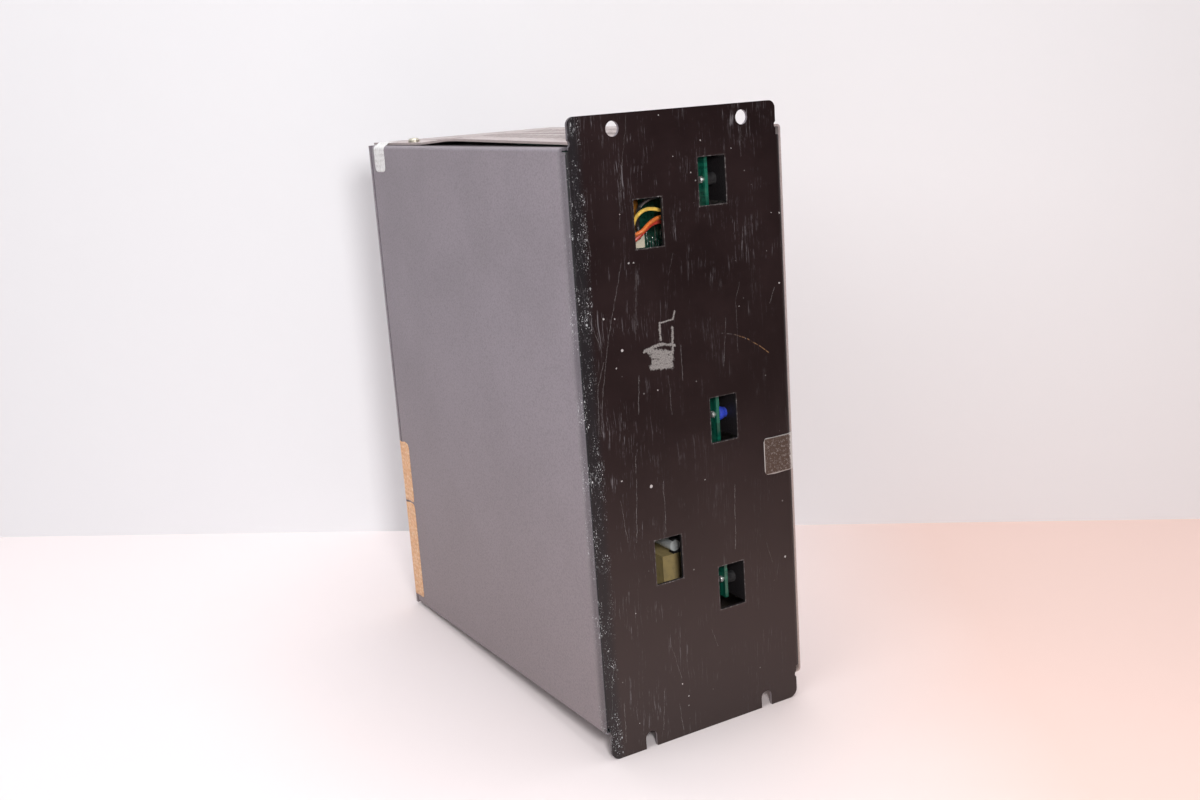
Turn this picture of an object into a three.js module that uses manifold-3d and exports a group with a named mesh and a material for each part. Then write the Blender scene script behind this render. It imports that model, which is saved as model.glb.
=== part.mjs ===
// Panel-mounted power supply module: bent-sheet chassis with a rear mounting plate, a wrap cover,
// a front panel with terminals, and the two circuit boards that the case holds.
//
// Millimetres, +Z up. The outer face of the rear plate is the plane Y = 0 and faces +Y; the front
// panel faces -Y. The origin is on that face, halfway up the case and midway across the plate.
import * as THREE from 'three';
import { mergeVertices } from 'three/addons/utils/BufferGeometryUtils.js';
import Module from 'manifold-3d';

const wasm = await Module();
wasm.setup();

// ---------------------------------------------------------------- driving dimensions

// Case
const PLATE_W = 101.6;            // flat width of the rear plate and of both flanges
const CASE_H = 250.2;             // height of the case between the two flanges
const CASE_D = 204;               // rear face of the plate to the front panel's face
const TOP_FLANGE = 11.5;          // height of the upper mounting flange above the case
const BOTTOM_FLANGE = 12.2;       // height of the lower mounting flange below the case
const SHEET = 1.5;                // chassis sheet thickness
const BEND_R = 2.7;               // outer radius of the bends at the rear plate and the bottom
const EDGE_R = 1.8;               // outer radius of the tight bends at the top and the front
const COVER_SHEET = 1.0;          // wrap cover thickness
const SEAM = 0.3;                 // gap where one sheet lies against another

// Mounting holes and slots in the flanges
const HOLE_D = 6.3;
const HOLE_SPACING = 63.5;
const HOLE_SHIFT = -1.4;          // the pattern sits this far from the plate's centre line
const HOLE_EDGE = 5.9;            // hole centre below the upper flange's edge
const SLOT_W = 5.9;
const SLOT_DEPTH = 7.7;           // open slot, from the lower flange's edge to its round end
const TOP_CORNER_R = 3.2;
const BOTTOM_CORNER_R = 4.2;
const NOTCH_R = 1.6;              // bend relief in the flange's sides
const NOTCH_DEPTH = 0.8;

// Lanced windows and their tabs
const WINDOW_W = 13.9;
const WINDOW_H = 20.2;
const WINDOW_R = 0.8;
const CONTROL_WINDOW_X = -16.7;
const CONTROL_WINDOW_TOP = 19.1;  // upper control window's centre below the case's top
const CONTROL_WINDOW_MIDDLE = 3.6; // middle one above half height
const CONTROL_WINDOW_BOTTOM = 51.8; // lower one above the case's bottom
const POWER_WINDOW_X = 15.7;
const POWER_WINDOW_TOP = 33.3;    // upper power window below the case's top
const POWER_WINDOW_BOTTOM = 71.7; // lower one above the case's bottom
const TAB_LENGTH = 13.4;
const TAB_SCREW_Y = -9.2;         // screw line of the tabs, behind the rear face
const TAB_HOLE_D = 3.4;

// Folded edges
const TOP_LIP = 12;               // inward lip along the top of the side wall
const FRONT_LIP = 9;
const REAR_LIP = 16;              // lip that the wrap cover's wall lies against
const CORNER_RELIEF = 0.8;        // open slit where two bends meet
const REAR_LIP_STEP = 3;          // the rear lip stops this short of the case's top and bottom
const COVER_LIP = 14;             // wrap cover's lip under the bottom wall

// The wrap cover's free edge has sprung up behind its screw
const COVER_LIFT = 2.0;
const LIFT_FROM_SCREW = 10;       // the rise starts this far behind the cover's screw
const LIFT_RISE = 46;             // length of the rise
const LIFT_AT_REAR = 0.3;         // share of the lift that is left at the rear edge

// Ventilation slots in the cover's top and in the bottom wall
const VENT_LENGTH = 18;
const VENT_W = 3.2;
const VENT_PITCH_X = 26;
const VENT_PITCH_Y = 8;
const VENT_COLUMNS = 3;
const TOP_VENT_MARGIN = 34;       // first and last slot to the case's rear and front
const BOTTOM_VENT_REAR = 56;
const BOTTOM_VENT_FRONT = 60;

// Boards
const BOARD_T = 1.6;
const CONTROL_SPACER = 4.6;       // tab to control board
const CONTROL_BOARD_REAR = 6.5;   // board's rear edge to the rear face
const CONTROL_BOARD_FRONT = 12;   // board's front edge to the panel's face
const CONTROL_BOARD_TOP = 5.1;    // board's upper edge to the case's top
const CONTROL_BOARD_FOOT = 8.2;   // board's lower edge below its lowest screw
const POWER_BOARD_REAR = 12;
const POWER_BOARD_FRONT = 16;
const POWER_BOARD_MARGIN = 13.1;  // power board's edges to the case's top and bottom
const SEAT = 0.1;                 // gap under a part that is soldered to a board
const HEAT_SINK_BASE = 3;
const HEAT_SINK_REAR = 4;
const HEAT_SINK_FRONT = 22;
const HEAT_SINK_FOOT = 8;         // heat sink's lower end above the power board's
const FIN_COUNT = 9;
const FIN_T = 1.8;
const FIN_GAP = 4.5;              // fin tips to the side wall
const FIN_MARGIN = 8;             // outer fins to the heat sink's ends
const STANDOFF_LENGTH = 26;       // heat sink to power board

// Terminals
const WAYS = 5;
const WAY_PITCH = 13.4;
const BARRIER_T = 1.8;
const BLOCK_H = 24;
const BLOCK_D = 13;
const BLOCK_FLOOR = 4.6;          // thickness of the block behind its channels
const BLOCK_UP = 26.1;            // centre of the block above the case's bottom
const EAR_T = 2.7;
const GUARD_T = 1.8;
const GUARD_GAP = 1.2;            // guard to barriers
const PIN_D = 2;
const PIN_CLEARANCE = 0.15;
const KNUCKLE_D = 4.4;

// Screws
const SCREW_D = 3;
const SCREW_HEAD_D = 5.6;
const SCREW_HEAD_H = 2.1;
const LOW_HEAD_H = 1.7;           // low head underneath and on the heat sink
const SCREW_CLEARANCE = 0.2;

// Trimmer and lamp on the front panel
const FACE_CONTROL_STAND = 4.95;  // line of the front controls to the control board's face
const TRIMMER_Z = -45;
const LAMP_Z = -22;
const ROTOR_D = 5;
const LAMP_D = 5;

// ---------------------------------------------------------------- derived sizes

const SIDE_X = PLATE_W / 2 + BEND_R;              // outer face of the side wall
const HALF_H = CASE_H / 2;
const PANEL_BACK_Y = -CASE_D + SHEET;
const BLOCK_Z = -HALF_H + BLOCK_UP;
const CONTROL_WINDOW_Z = [
  HALF_H - CONTROL_WINDOW_TOP, CONTROL_WINDOW_MIDDLE, -HALF_H + CONTROL_WINDOW_BOTTOM];
const POWER_WINDOW_Z = [HALF_H - POWER_WINDOW_TOP, -HALF_H + POWER_WINDOW_BOTTOM];
const FRONT_LIP_Y = PANEL_BACK_Y + SEAM;          // front face of the inward lips
const COVER_X = -SIDE_X - SEAM;                   // inner face of the cover's wall
const COVER_Z = HALF_H + SEAM;                    // inner face of the cover's top
const CONTROL_TAB_X = CONTROL_WINDOW_X - WINDOW_W / 2;        // tab's face towards the board
const POWER_TAB_X = POWER_WINDOW_X + WINDOW_W / 2;
const CONTROL_BACK_X = CONTROL_TAB_X + CONTROL_SPACER;
const CONTROL_X = CONTROL_BACK_X + BOARD_T;       // control board's face towards the side wall
const CONTROL_FACE_X = CONTROL_BACK_X - FACE_CONTROL_STAND;
const SINK_X = POWER_TAB_X + SHEET + SEAM;        // heat sink's face against the tabs
const POWER_X = SINK_X - STANDOFF_LENGTH;         // power board's component face
const CONTROL_BOARD_Y = [-CASE_D + CONTROL_BOARD_FRONT, -CONTROL_BOARD_REAR];
const CONTROL_BOARD_Z = [CONTROL_WINDOW_Z[2] - CONTROL_BOARD_FOOT, HALF_H - CONTROL_BOARD_TOP];
const POWER_BOARD_Y = [-CASE_D + POWER_BOARD_FRONT, -POWER_BOARD_REAR];
const POWER_BOARD_Z = [-HALF_H + POWER_BOARD_MARGIN, HALF_H - POWER_BOARD_MARGIN];
const HEAT_SINK_Y = [-CASE_D + HEAT_SINK_FRONT, -HEAT_SINK_REAR];
const HEAT_SINK_Z = [POWER_BOARD_Z[0] + HEAT_SINK_FOOT, POWER_BOARD_Z[1]];
const FIN_TIP_X = SIDE_X - SHEET - FIN_GAP;
const BLOCK_W = WAYS * WAY_PITCH + BARRIER_T;
const BLOCK_FRONT_Y = -CASE_D - BLOCK_D;
const GUARD_AXIS_Y = BLOCK_FRONT_Y + KNUCKLE_D / 2 - 1;
const GUARD_AXIS_Z = BLOCK_Z + BLOCK_H / 2 + KNUCKLE_D / 2 + 0.8;

const BOSS_W = BLOCK_W - 8;                       // the block's foot, which goes through the panel
const BOSS_H = 8;
const BOSS_TAIL = 3;                              // the foot reaches this far behind the panel
const HEAD_SEAT = 0.05;                           // air under a screw head
const PANEL_SCREW_X = SIDE_X - 5.5;
const PANEL_SCREW_Z = [-HALF_H + 15.1, HALF_H - 15.1];
const COVER_SCREW_TOP = [SIDE_X - 7.5, -CASE_D + 42];
const COVER_SCREWS_BELOW = [[-SIDE_X + 9, -34], [-SIDE_X + 9, -CASE_D + 34]];
const LIFT_START_Y = COVER_SCREW_TOP[1] + LIFT_FROM_SCREW;
const LIFT_PEAK_Y = LIFT_START_Y + LIFT_RISE;
const VENT_CENTRE_X = -1;
const COVER_END_Y = -CASE_D + SEAM;
const COVER_REAR_Y = -SHEET - SEAM;
const COVER_EDGE_X = SIDE_X - 3;
const BOTTOM_WALL_END = -SIDE_X + SHEET + 0.4;

// ---------------------------------------------------------------- materials

const paint = (hex, roughness = 0.5, metalness = 0) =>
  new THREE.MeshStandardMaterial({ color: hex, roughness, metalness });
const BLACK_PAINT = paint(0x2b2524, 0.45);
const COVER_PAINT = paint(0x332d2b, 0.5);
const ZINC = paint(0xc9c3ae, 0.35, 0.9);
const BOARD_GREEN = paint(0x1f5a40, 0.5);
const ALUMINIUM = paint(0xb9bcbd, 0.4, 0.9);
const FERRITE = paint(0x2c2c2e, 0.7);
const AMBER = paint(0x8a4a14, 0.5);
const NYLON = paint(0xd8cdb8, 0.6);
const YELLOW = paint(0xc79a2e, 0.45);
const BLACK_PLASTIC = paint(0x18181a, 0.5);
const BLUE = paint(0x2b3f9c, 0.4);
const RED = paint(0xa3261b, 0.5);
const BROWN = paint(0x4a2c1c, 0.5);
const ORANGE = paint(0xd06030, 0.5);
const CLEAR = paint(0xdfe6e8, 0.1);
const COPPER = paint(0xb0633a, 0.4, 0.8);
const GLASS = paint(0xdde4e2, 0.05);
const GREEN_LENS = paint(0x2fae57, 0.2);

// ---------------------------------------------------------------- solids

function toSolid(geometry) {
  const bare = geometry.clone();
  bare.deleteAttribute('normal');
  bare.deleteAttribute('uv');
  const merged = mergeVertices(bare, 1e-4);
  const mesh = new wasm.Mesh({
    numProp: 3,
    vertProperties: new Float32Array(merged.attributes.position.array),
    triVerts: new Uint32Array(merged.index.array),
  });
  return new wasm.Manifold(mesh);
}

function toGeometry(solid) {
  const mesh = solid.getMesh();
  const geometry = new THREE.BufferGeometry();
  geometry.setAttribute('position', new THREE.BufferAttribute(mesh.vertProperties, 3));
  geometry.setIndex(new THREE.BufferAttribute(mesh.triVerts, 1));
  geometry.computeVertexNormals();
  return geometry;
}

const join = (...geometries) =>
  toGeometry(geometries.map(toSolid).reduce((all, next) => all.add(next)));

function cut(geometry, ...tools) {
  const removed = tools.flat().map(toSolid).reduce((all, next) => all.add(next));
  return toGeometry(toSolid(geometry).subtract(removed));
}

// A box from its low and high limits on each axis.
function block(x, y, z) {
  const geometry = new THREE.BoxGeometry(x[1] - x[0], y[1] - y[0], z[1] - z[0]);
  return geometry.translate((x[0] + x[1]) / 2, (y[0] + y[1]) / 2, (z[0] + z[1]) / 2);
}

// A round bar along one axis, from its centre line and its two ends.
function bar(axis, diameter, centre, from, to, sides = 16) {
  const geometry = new THREE.CylinderGeometry(diameter / 2, diameter / 2, to - from, sides);
  const middle = (from + to) / 2;
  if (axis === 'x') return geometry.rotateZ(Math.PI / 2).translate(middle, centre[0], centre[1]);
  if (axis === 'y') return geometry.translate(centre[0], middle, centre[1]);
  return geometry.rotateX(Math.PI / 2).translate(centre[0], centre[1], middle);
}

// Extrudes an outline drawn in the XY, XZ or YZ plane. An XY outline runs up from `start`, an XZ
// outline runs towards -Y from it, and a YZ outline runs towards +X.
const PLANE_BASIS = {
  xy: [new THREE.Vector3(1, 0, 0), new THREE.Vector3(0, 1, 0), new THREE.Vector3(0, 0, 1)],
  xz: [new THREE.Vector3(1, 0, 0), new THREE.Vector3(0, 0, 1), new THREE.Vector3(0, -1, 0)],
  yz: [new THREE.Vector3(0, 1, 0), new THREE.Vector3(0, 0, 1), new THREE.Vector3(1, 0, 0)],
};

function prism(shape, plane, start, length, curveSegments = 10) {
  const geometry = new THREE.ExtrudeGeometry(shape, {
    depth: length,
    bevelEnabled: false,
    curveSegments,
  });
  const [u, v, w] = PLANE_BASIS[plane];
  geometry.applyMatrix4(new THREE.Matrix4().makeBasis(u, v, w));
  return geometry.translate(w.x ? start : 0, w.y ? start : 0, w.z ? start : 0);
}

function roundedRect(x0, x1, z0, z1, radius, Kind = THREE.Shape) {
  const shape = new Kind();
  shape.moveTo(x0 + radius, z0);
  shape.lineTo(x1 - radius, z0);
  shape.absarc(x1 - radius, z0 + radius, radius, -Math.PI / 2, 0, false);
  shape.lineTo(x1, z1 - radius);
  shape.absarc(x1 - radius, z1 - radius, radius, 0, Math.PI / 2, false);
  shape.lineTo(x0 + radius, z1);
  shape.absarc(x0 + radius, z1 - radius, radius, Math.PI / 2, Math.PI, false);
  shape.lineTo(x0, z0 + radius);
  shape.absarc(x0 + radius, z0 + radius, radius, Math.PI, 1.5 * Math.PI, false);
  return shape;
}

// ---------------------------------------------------------------- placing

const object = new THREE.Group();
object.name = 'power_supply_module';

function place(name, geometry, material, position = [0, 0, 0], rotation = [0, 0, 0], parent = object) {
  const mesh = new THREE.Mesh(geometry, material.clone());
  mesh.name = name;
  mesh.position.set(...position);
  mesh.rotation.set(...rotation);
  parent.add(mesh);
  return mesh;
}

// ---------------------------------------------------------------- chassis

// Each window's centre, and the side of it that its tab is bent in from.
const WINDOWS = [
  ...CONTROL_WINDOW_Z.map((z) => [CONTROL_WINDOW_X, z, CONTROL_TAB_X - SHEET]),
  ...POWER_WINDOW_Z.map((z) => [POWER_WINDOW_X, z, POWER_TAB_X]),
];

const holeX = [HOLE_SHIFT - HOLE_SPACING / 2, HOLE_SHIFT + HOLE_SPACING / 2];

// Rear plate with its flanges, in the XZ plane.
function plateShape() {
  const half = PLATE_W / 2;
  const top = HALF_H + TOP_FLANGE;
  const bottom = -HALF_H - BOTTOM_FLANGE;
  const shape = new THREE.Shape();
  const arch = bottom + SLOT_DEPTH - SLOT_W / 2;
  shape.moveTo(-half + BOTTOM_CORNER_R, bottom);
  for (const x of holeX) {
    shape.lineTo(x - SLOT_W / 2, bottom);
    shape.lineTo(x - SLOT_W / 2, arch);
    shape.absarc(x, arch, SLOT_W / 2, Math.PI, 0, true);
    shape.lineTo(x + SLOT_W / 2, bottom);
  }
  shape.lineTo(half - BOTTOM_CORNER_R, bottom);
  const lowArc = bottom + BOTTOM_CORNER_R;
  shape.absarc(half - BOTTOM_CORNER_R, lowArc, BOTTOM_CORNER_R, -Math.PI / 2, 0, false);
  shape.lineTo(half, top - TOP_CORNER_R);
  shape.absarc(half - TOP_CORNER_R, top - TOP_CORNER_R, TOP_CORNER_R, 0, Math.PI / 2, false);
  shape.lineTo(-half + TOP_CORNER_R, top);
  shape.absarc(-half + TOP_CORNER_R, top - TOP_CORNER_R, TOP_CORNER_R, Math.PI / 2, Math.PI, false);
  shape.lineTo(-half, lowArc);
  shape.absarc(-half + BOTTOM_CORNER_R, lowArc, BOTTOM_CORNER_R, Math.PI, 1.5 * Math.PI, false);
  for (const x of holeX) {
    const hole = new THREE.Path();
    hole.absarc(x, top - HOLE_EDGE, HOLE_D / 2, 0, 2 * Math.PI, true);
    shape.holes.push(hole);
  }
  return shape;
}

// Rear lip, rear plate, side wall and front lip in one folded strip, in the XY plane.
function wallShape() {
  const half = PLATE_W / 2;
  const inner = BEND_R - SHEET;
  const lipX = SIDE_X - FRONT_LIP;
  const frontBendY = FRONT_LIP_Y + EDGE_R;
  const shape = new THREE.Shape();
  shape.moveTo(-SIDE_X, -REAR_LIP);
  shape.lineTo(-SIDE_X + SHEET, -REAR_LIP);
  shape.lineTo(-SIDE_X + SHEET, -BEND_R);
  shape.absarc(-half, -BEND_R, inner, Math.PI, Math.PI / 2, true);
  shape.lineTo(half, -SHEET);
  shape.absarc(half, -BEND_R, inner, Math.PI / 2, 0, true);
  shape.lineTo(SIDE_X - SHEET, frontBendY);
  shape.absarc(SIDE_X - EDGE_R, frontBendY, EDGE_R - SHEET, 0, -Math.PI / 2, true);
  shape.lineTo(lipX, FRONT_LIP_Y + SHEET);
  shape.lineTo(lipX, FRONT_LIP_Y);
  shape.lineTo(SIDE_X - EDGE_R, FRONT_LIP_Y);
  shape.absarc(SIDE_X - EDGE_R, frontBendY, EDGE_R, -Math.PI / 2, 0, false);
  shape.lineTo(SIDE_X, -BEND_R);
  shape.absarc(half, -BEND_R, BEND_R, 0, Math.PI / 2, false);
  shape.lineTo(-half, 0);
  shape.absarc(-half, -BEND_R, BEND_R, Math.PI / 2, Math.PI, false);
  shape.closePath();
  return shape;
}

const BEND_OVERLAP = 4;                           // part of the side wall that a bend's outline shares

// Bottom wall and its bend from the side wall, in the XZ plane.
function bottomShape() {
  const bendX = SIDE_X - BEND_R;
  const bendZ = -HALF_H + BEND_R;
  const rise = bendZ + BEND_OVERLAP;
  const shape = new THREE.Shape();
  shape.moveTo(SIDE_X, rise);
  shape.lineTo(SIDE_X - SHEET, rise);
  shape.lineTo(SIDE_X - SHEET, bendZ);
  shape.absarc(bendX, bendZ, BEND_R - SHEET, 0, -Math.PI / 2, true);
  shape.lineTo(BOTTOM_WALL_END, -HALF_H + SHEET);
  shape.lineTo(BOTTOM_WALL_END, -HALF_H);
  shape.lineTo(bendX, -HALF_H);
  shape.absarc(bendX, bendZ, BEND_R, -Math.PI / 2, 0, false);
  shape.closePath();
  return shape;
}

// Inward lip along the top of the side wall, in the XZ plane.
function topLipShape() {
  const bendX = SIDE_X - EDGE_R;
  const bendZ = HALF_H - EDGE_R;
  const drop = bendZ - BEND_OVERLAP;
  const shape = new THREE.Shape();
  shape.moveTo(SIDE_X, drop);
  shape.lineTo(SIDE_X, bendZ);
  shape.absarc(bendX, bendZ, EDGE_R, 0, Math.PI / 2, false);
  shape.lineTo(SIDE_X - TOP_LIP, HALF_H);
  shape.lineTo(SIDE_X - TOP_LIP, HALF_H - SHEET);
  shape.lineTo(bendX, HALF_H - SHEET);
  shape.absarc(bendX, bendZ, EDGE_R - SHEET, Math.PI / 2, 0, true);
  shape.lineTo(SIDE_X - SHEET, drop);
  shape.closePath();
  return shape;
}

// Cutting blocks for columns of slots, from the case's rear to its front.
function ventTools(rearMargin, frontMargin, z) {
  const tools = [];
  const rows = Math.floor((CASE_D - rearMargin - frontMargin) / VENT_PITCH_Y) + 1;
  for (let column = 0; column < VENT_COLUMNS; column += 1) {
    const x = VENT_CENTRE_X + (column - (VENT_COLUMNS - 1) / 2) * VENT_PITCH_X;
    for (let row = 0; row < rows; row += 1) {
      const y = -rearMargin - row * VENT_PITCH_Y;
      tools.push(block(
        [x - VENT_LENGTH / 2, x + VENT_LENGTH / 2], [y - VENT_W / 2, y + VENT_W / 2], z));
    }
  }
  return tools;
}

function chassisGeometry() {
  const low = -HALF_H;
  const high = HALF_H;
  const half = PLATE_W / 2;
  const sideX = [half, SIDE_X + 1];
  const frontLipX = [SIDE_X - FRONT_LIP - 1, SIDE_X - EDGE_R];
  const frontLipY = [-CASE_D, FRONT_LIP_Y + EDGE_R];
  const rearLipX = [-SIDE_X - 1, -half];
  const rearLipY = [-REAR_LIP - 1, 1];
  const folded = cut(
    prism(wallShape(), 'xy', low, CASE_H),
    block(sideX, [-CASE_D, 1], [low - 1, low + BEND_R]),
    block(sideX, [-BEND_R, 1], [low - 1, low + BEND_R + CORNER_RELIEF]),
    block(sideX, [-CASE_D, 1], [high - EDGE_R, high + 1]),
    block(rearLipX, rearLipY, [low - 1, low + REAR_LIP_STEP]),
    block(rearLipX, rearLipY, [high - REAR_LIP_STEP, high + 1]),
    block(frontLipX, frontLipY, [low - 1, low + BEND_R + 1]),
    block(frontLipX, frontLipY, [high - EDGE_R - 1, high + 1]),
  );
  const bottomEnd = FRONT_LIP_Y + EDGE_R;
  const parts = [
    folded,
    prism(plateShape(), 'xz', 0, SHEET, 8),
    prism(bottomShape(), 'xz', -CORNER_RELIEF, -bottomEnd - CORNER_RELIEF),
    prism(topLipShape(), 'xz', -BEND_R, -bottomEnd - BEND_R),
  ];
  const tools = [];
  for (const [x, z, tabX] of WINDOWS) {
    const halfTab = WINDOW_H / 2 - CORNER_RELIEF;
    parts.push(block([tabX, tabX + SHEET], [-TAB_LENGTH, -SHEET / 2], [z - halfTab, z + halfTab]));
    tools.push(bar('x', TAB_HOLE_D, [TAB_SCREW_Y, z], tabX - 1, tabX + SHEET + 1, 12));
    const opening = roundedRect(
      x - WINDOW_W / 2, x + WINDOW_W / 2, z - WINDOW_H / 2, z + WINDOW_H / 2, WINDOW_R);
    tools.push(prism(opening, 'xz', 1, SHEET + 2, 4));
  }
  for (const side of [-1, 1]) {
    for (const z of [high + NOTCH_R - 0.4, low - NOTCH_R + 0.4]) {
      const x = side * (half + NOTCH_R - NOTCH_DEPTH);
      tools.push(bar('y', 2 * NOTCH_R, [x, z], -SHEET - 1, 1, 16));
    }
  }
  tools.push(bar('z', SCREW_D + SCREW_CLEARANCE, COVER_SCREW_TOP, high - SHEET - 1, high + 1, 12));
  for (const spot of COVER_SCREWS_BELOW) {
    tools.push(bar('z', SCREW_D + SCREW_CLEARANCE, spot, low - 1, low + SHEET + 1, 12));
  }
  for (const z of PANEL_SCREW_Z) {
    tools.push(bar(
      'y', SCREW_D + SCREW_CLEARANCE, [PANEL_SCREW_X, z], FRONT_LIP_Y - 1, FRONT_LIP_Y + SHEET + 1, 12));
  }
  tools.push(...ventTools(BOTTOM_VENT_REAR, BOTTOM_VENT_FRONT, [low - 1, low + SHEET + 1]));
  return cut(join(...parts), tools);
}

// ---------------------------------------------------------------- wrap cover

// Height of the sprung cover above its seat: none in front of the screw, a smooth rise behind it,
// then a slow fall to the rear. It is flat up to flatX, where the bend holds it down.
function coverLift(x, y, flatX) {
  const across = THREE.MathUtils.clamp((x - flatX) / (COVER_EDGE_X - flatX), 0, 1);
  const forward = 1 - THREE.MathUtils.smoothstep(-y, -LIFT_PEAK_Y, -LIFT_START_Y);
  const fall = THREE.MathUtils.lerp(LIFT_AT_REAR, 1, Math.min(1, y / LIFT_PEAK_Y));
  return COVER_LIFT * across ** 1.5 * forward * fall;
}

function coverGeometry() {
  const outerX = COVER_X - COVER_SHEET;
  const outerZ = COVER_Z + COVER_SHEET;
  const floorZ = -HALF_H - SEAM;
  const bendX = outerX + EDGE_R;
  const inner = EDGE_R - COVER_SHEET;
  const shape = new THREE.Shape();
  shape.moveTo(bendX + 2, outerZ);
  shape.lineTo(bendX, outerZ);
  shape.absarc(bendX, outerZ - EDGE_R, EDGE_R, Math.PI / 2, Math.PI, false);
  shape.lineTo(outerX, floorZ - COVER_SHEET + EDGE_R);
  shape.absarc(bendX, floorZ - COVER_SHEET + EDGE_R, EDGE_R, Math.PI, 1.5 * Math.PI, false);
  shape.lineTo(outerX + COVER_LIP, floorZ - COVER_SHEET);
  shape.lineTo(outerX + COVER_LIP, floorZ);
  shape.lineTo(bendX, floorZ);
  shape.absarc(bendX, floorZ + inner, inner, 1.5 * Math.PI, Math.PI, true);
  shape.lineTo(COVER_X, COVER_Z - inner);
  shape.absarc(bendX, COVER_Z - inner, inner, Math.PI, Math.PI / 2, true);
  shape.lineTo(bendX + 2, COVER_Z);
  shape.closePath();
  const length = COVER_REAR_Y - COVER_END_Y;
  const wall = prism(shape, 'xz', COVER_REAR_Y, length);

  const segmentsX = 8;
  const segmentsY = 24;
  const width = COVER_EDGE_X - bendX;
  const sheet = new THREE.BoxGeometry(width, length, COVER_SHEET, segmentsX, segmentsY, 1);
  sheet.translate(
    (COVER_EDGE_X + bendX) / 2, (COVER_REAR_Y + COVER_END_Y) / 2, COVER_Z + COVER_SHEET / 2);
  const flatX = bendX + width / segmentsX;
  const position = sheet.attributes.position;
  for (let i = 0; i < position.count; i += 1) {
    const lift = coverLift(position.getX(i), position.getY(i), flatX);
    position.setZ(i, position.getZ(i) + lift);
  }

  const frontLip = block(
    [COVER_X - COVER_SHEET / 2, COVER_X + FRONT_LIP],
    [FRONT_LIP_Y, FRONT_LIP_Y + COVER_SHEET],
    [-HALF_H + 6, HALF_H - 6]);
  const tools = ventTools(TOP_VENT_MARGIN, TOP_VENT_MARGIN, [HALF_H - 2, HALF_H + 6]);
  tools.push(bar('z', SCREW_D + SCREW_CLEARANCE, COVER_SCREW_TOP, HALF_H - 1, HALF_H + 4, 12));
  for (const spot of COVER_SCREWS_BELOW) {
    tools.push(bar('z', SCREW_D + SCREW_CLEARANCE, spot, -HALF_H - 3, -HALF_H + 1, 12));
  }
  for (const z of PANEL_SCREW_Z) {
    tools.push(bar(
      'y', SCREW_D + SCREW_CLEARANCE, [-PANEL_SCREW_X, z], FRONT_LIP_Y - 1, FRONT_LIP_Y + 3, 12));
  }
  return cut(join(wall, sheet, frontLip), tools);
}

// ---------------------------------------------------------------- screws

// Pan-head screw with a cross recess: the head stands on z = 0 and the shank runs down to -length.
function screwGeometry(length, headD = SCREW_HEAD_D, headH = SCREW_HEAD_H, shankD = SCREW_D) {
  const profile = [
    new THREE.Vector2(0, -length),
    new THREE.Vector2(shankD / 2 - 0.3, -length),
    new THREE.Vector2(shankD / 2, -length + 0.3),
    new THREE.Vector2(shankD / 2, 0),
    new THREE.Vector2(headD / 2, 0),
    new THREE.Vector2(headD / 2, headH * 0.45),
    new THREE.Vector2(headD * 0.38, headH * 0.88),
    new THREE.Vector2(0, headH),
  ];
  const body = new THREE.LatheGeometry(profile, 16).rotateX(Math.PI / 2);
  const arm = headD * 0.3;
  const slot = 0.35;
  const depth = [headH * 0.4, headH + 1];
  return cut(body, block([-arm, arm], [-slot, slot], depth), block([-slot, slot], [-arm, arm], depth));
}

// ---------------------------------------------------------------- front panel

function frontPanelGeometry() {
  const face = [-CASE_D, PANEL_BACK_Y];
  const panel = block([-SIDE_X + 0.1, SIDE_X], face, [-HALF_H, HALF_H]);
  const through = [-CASE_D - 1, PANEL_BACK_Y + 1];
  const bossX = [-BOSS_W / 2 - SEAM, BOSS_W / 2 + SEAM];
  const tools = [
    block(bossX, through, [BLOCK_Z - BOSS_H / 2 - SEAM, BLOCK_Z + BOSS_H / 2 + SEAM]),
    bar('y', ROTOR_D + 1, [CONTROL_FACE_X, TRIMMER_Z], ...through),
    bar('y', LAMP_D + 0.4, [CONTROL_FACE_X, LAMP_Z], ...through),
  ];
  for (const x of [-PANEL_SCREW_X, PANEL_SCREW_X]) {
    for (const z of PANEL_SCREW_Z) {
      tools.push(bar('y', SCREW_D + SCREW_CLEARANCE, [x, z], ...through, 12));
    }
  }
  return cut(panel, tools);
}

place('chassis', chassisGeometry(), BLACK_PAINT);
place('wrap_cover', coverGeometry(), COVER_PAINT);
place('front_panel', frontPanelGeometry(), BLACK_PAINT);

// Heads face -Y on the panel, +Z on the cover, -Z underneath and -X on the tabs.
const FACING = {
  front: [Math.PI / 2, 0, 0],
  up: [0, 0, 0],
  down: [Math.PI, 0, 0],
  inward: [0, -Math.PI / 2, 0],
};
let panelScrew = 0;
for (const x of [-PANEL_SCREW_X, PANEL_SCREW_X]) {
  for (const z of PANEL_SCREW_Z) {
    panelScrew += 1;
    const seat = [x, -CASE_D - HEAD_SEAT, z];
    place(`front_panel_screw_${panelScrew}`, screwGeometry(6), ZINC, seat, FACING.front);
  }
}
const coverTop = COVER_Z + COVER_SHEET;
place('cover_screw_top', screwGeometry(5), ZINC, [...COVER_SCREW_TOP, coverTop + HEAD_SEAT], FACING.up);
COVER_SCREWS_BELOW.forEach(([x, y], index) => {
  const seat = [x, y, -HALF_H - SEAM - COVER_SHEET - HEAD_SEAT];
  const screw = screwGeometry(5, SCREW_HEAD_D, LOW_HEAD_H);
  place(`cover_screw_bottom_${index + 1}`, screw, ZINC, seat, FACING.down);
});

// ---------------------------------------------------------------- control board

function controlBoardGeometry() {
  const board = block([CONTROL_BACK_X, CONTROL_X], CONTROL_BOARD_Y, CONTROL_BOARD_Z);
  const holes = CONTROL_WINDOW_Z.map((z) =>
    bar('x', TAB_HOLE_D, [TAB_SCREW_Y, z], CONTROL_BACK_X - 1, CONTROL_X + 1, 12));
  return cut(board, holes);
}

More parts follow.
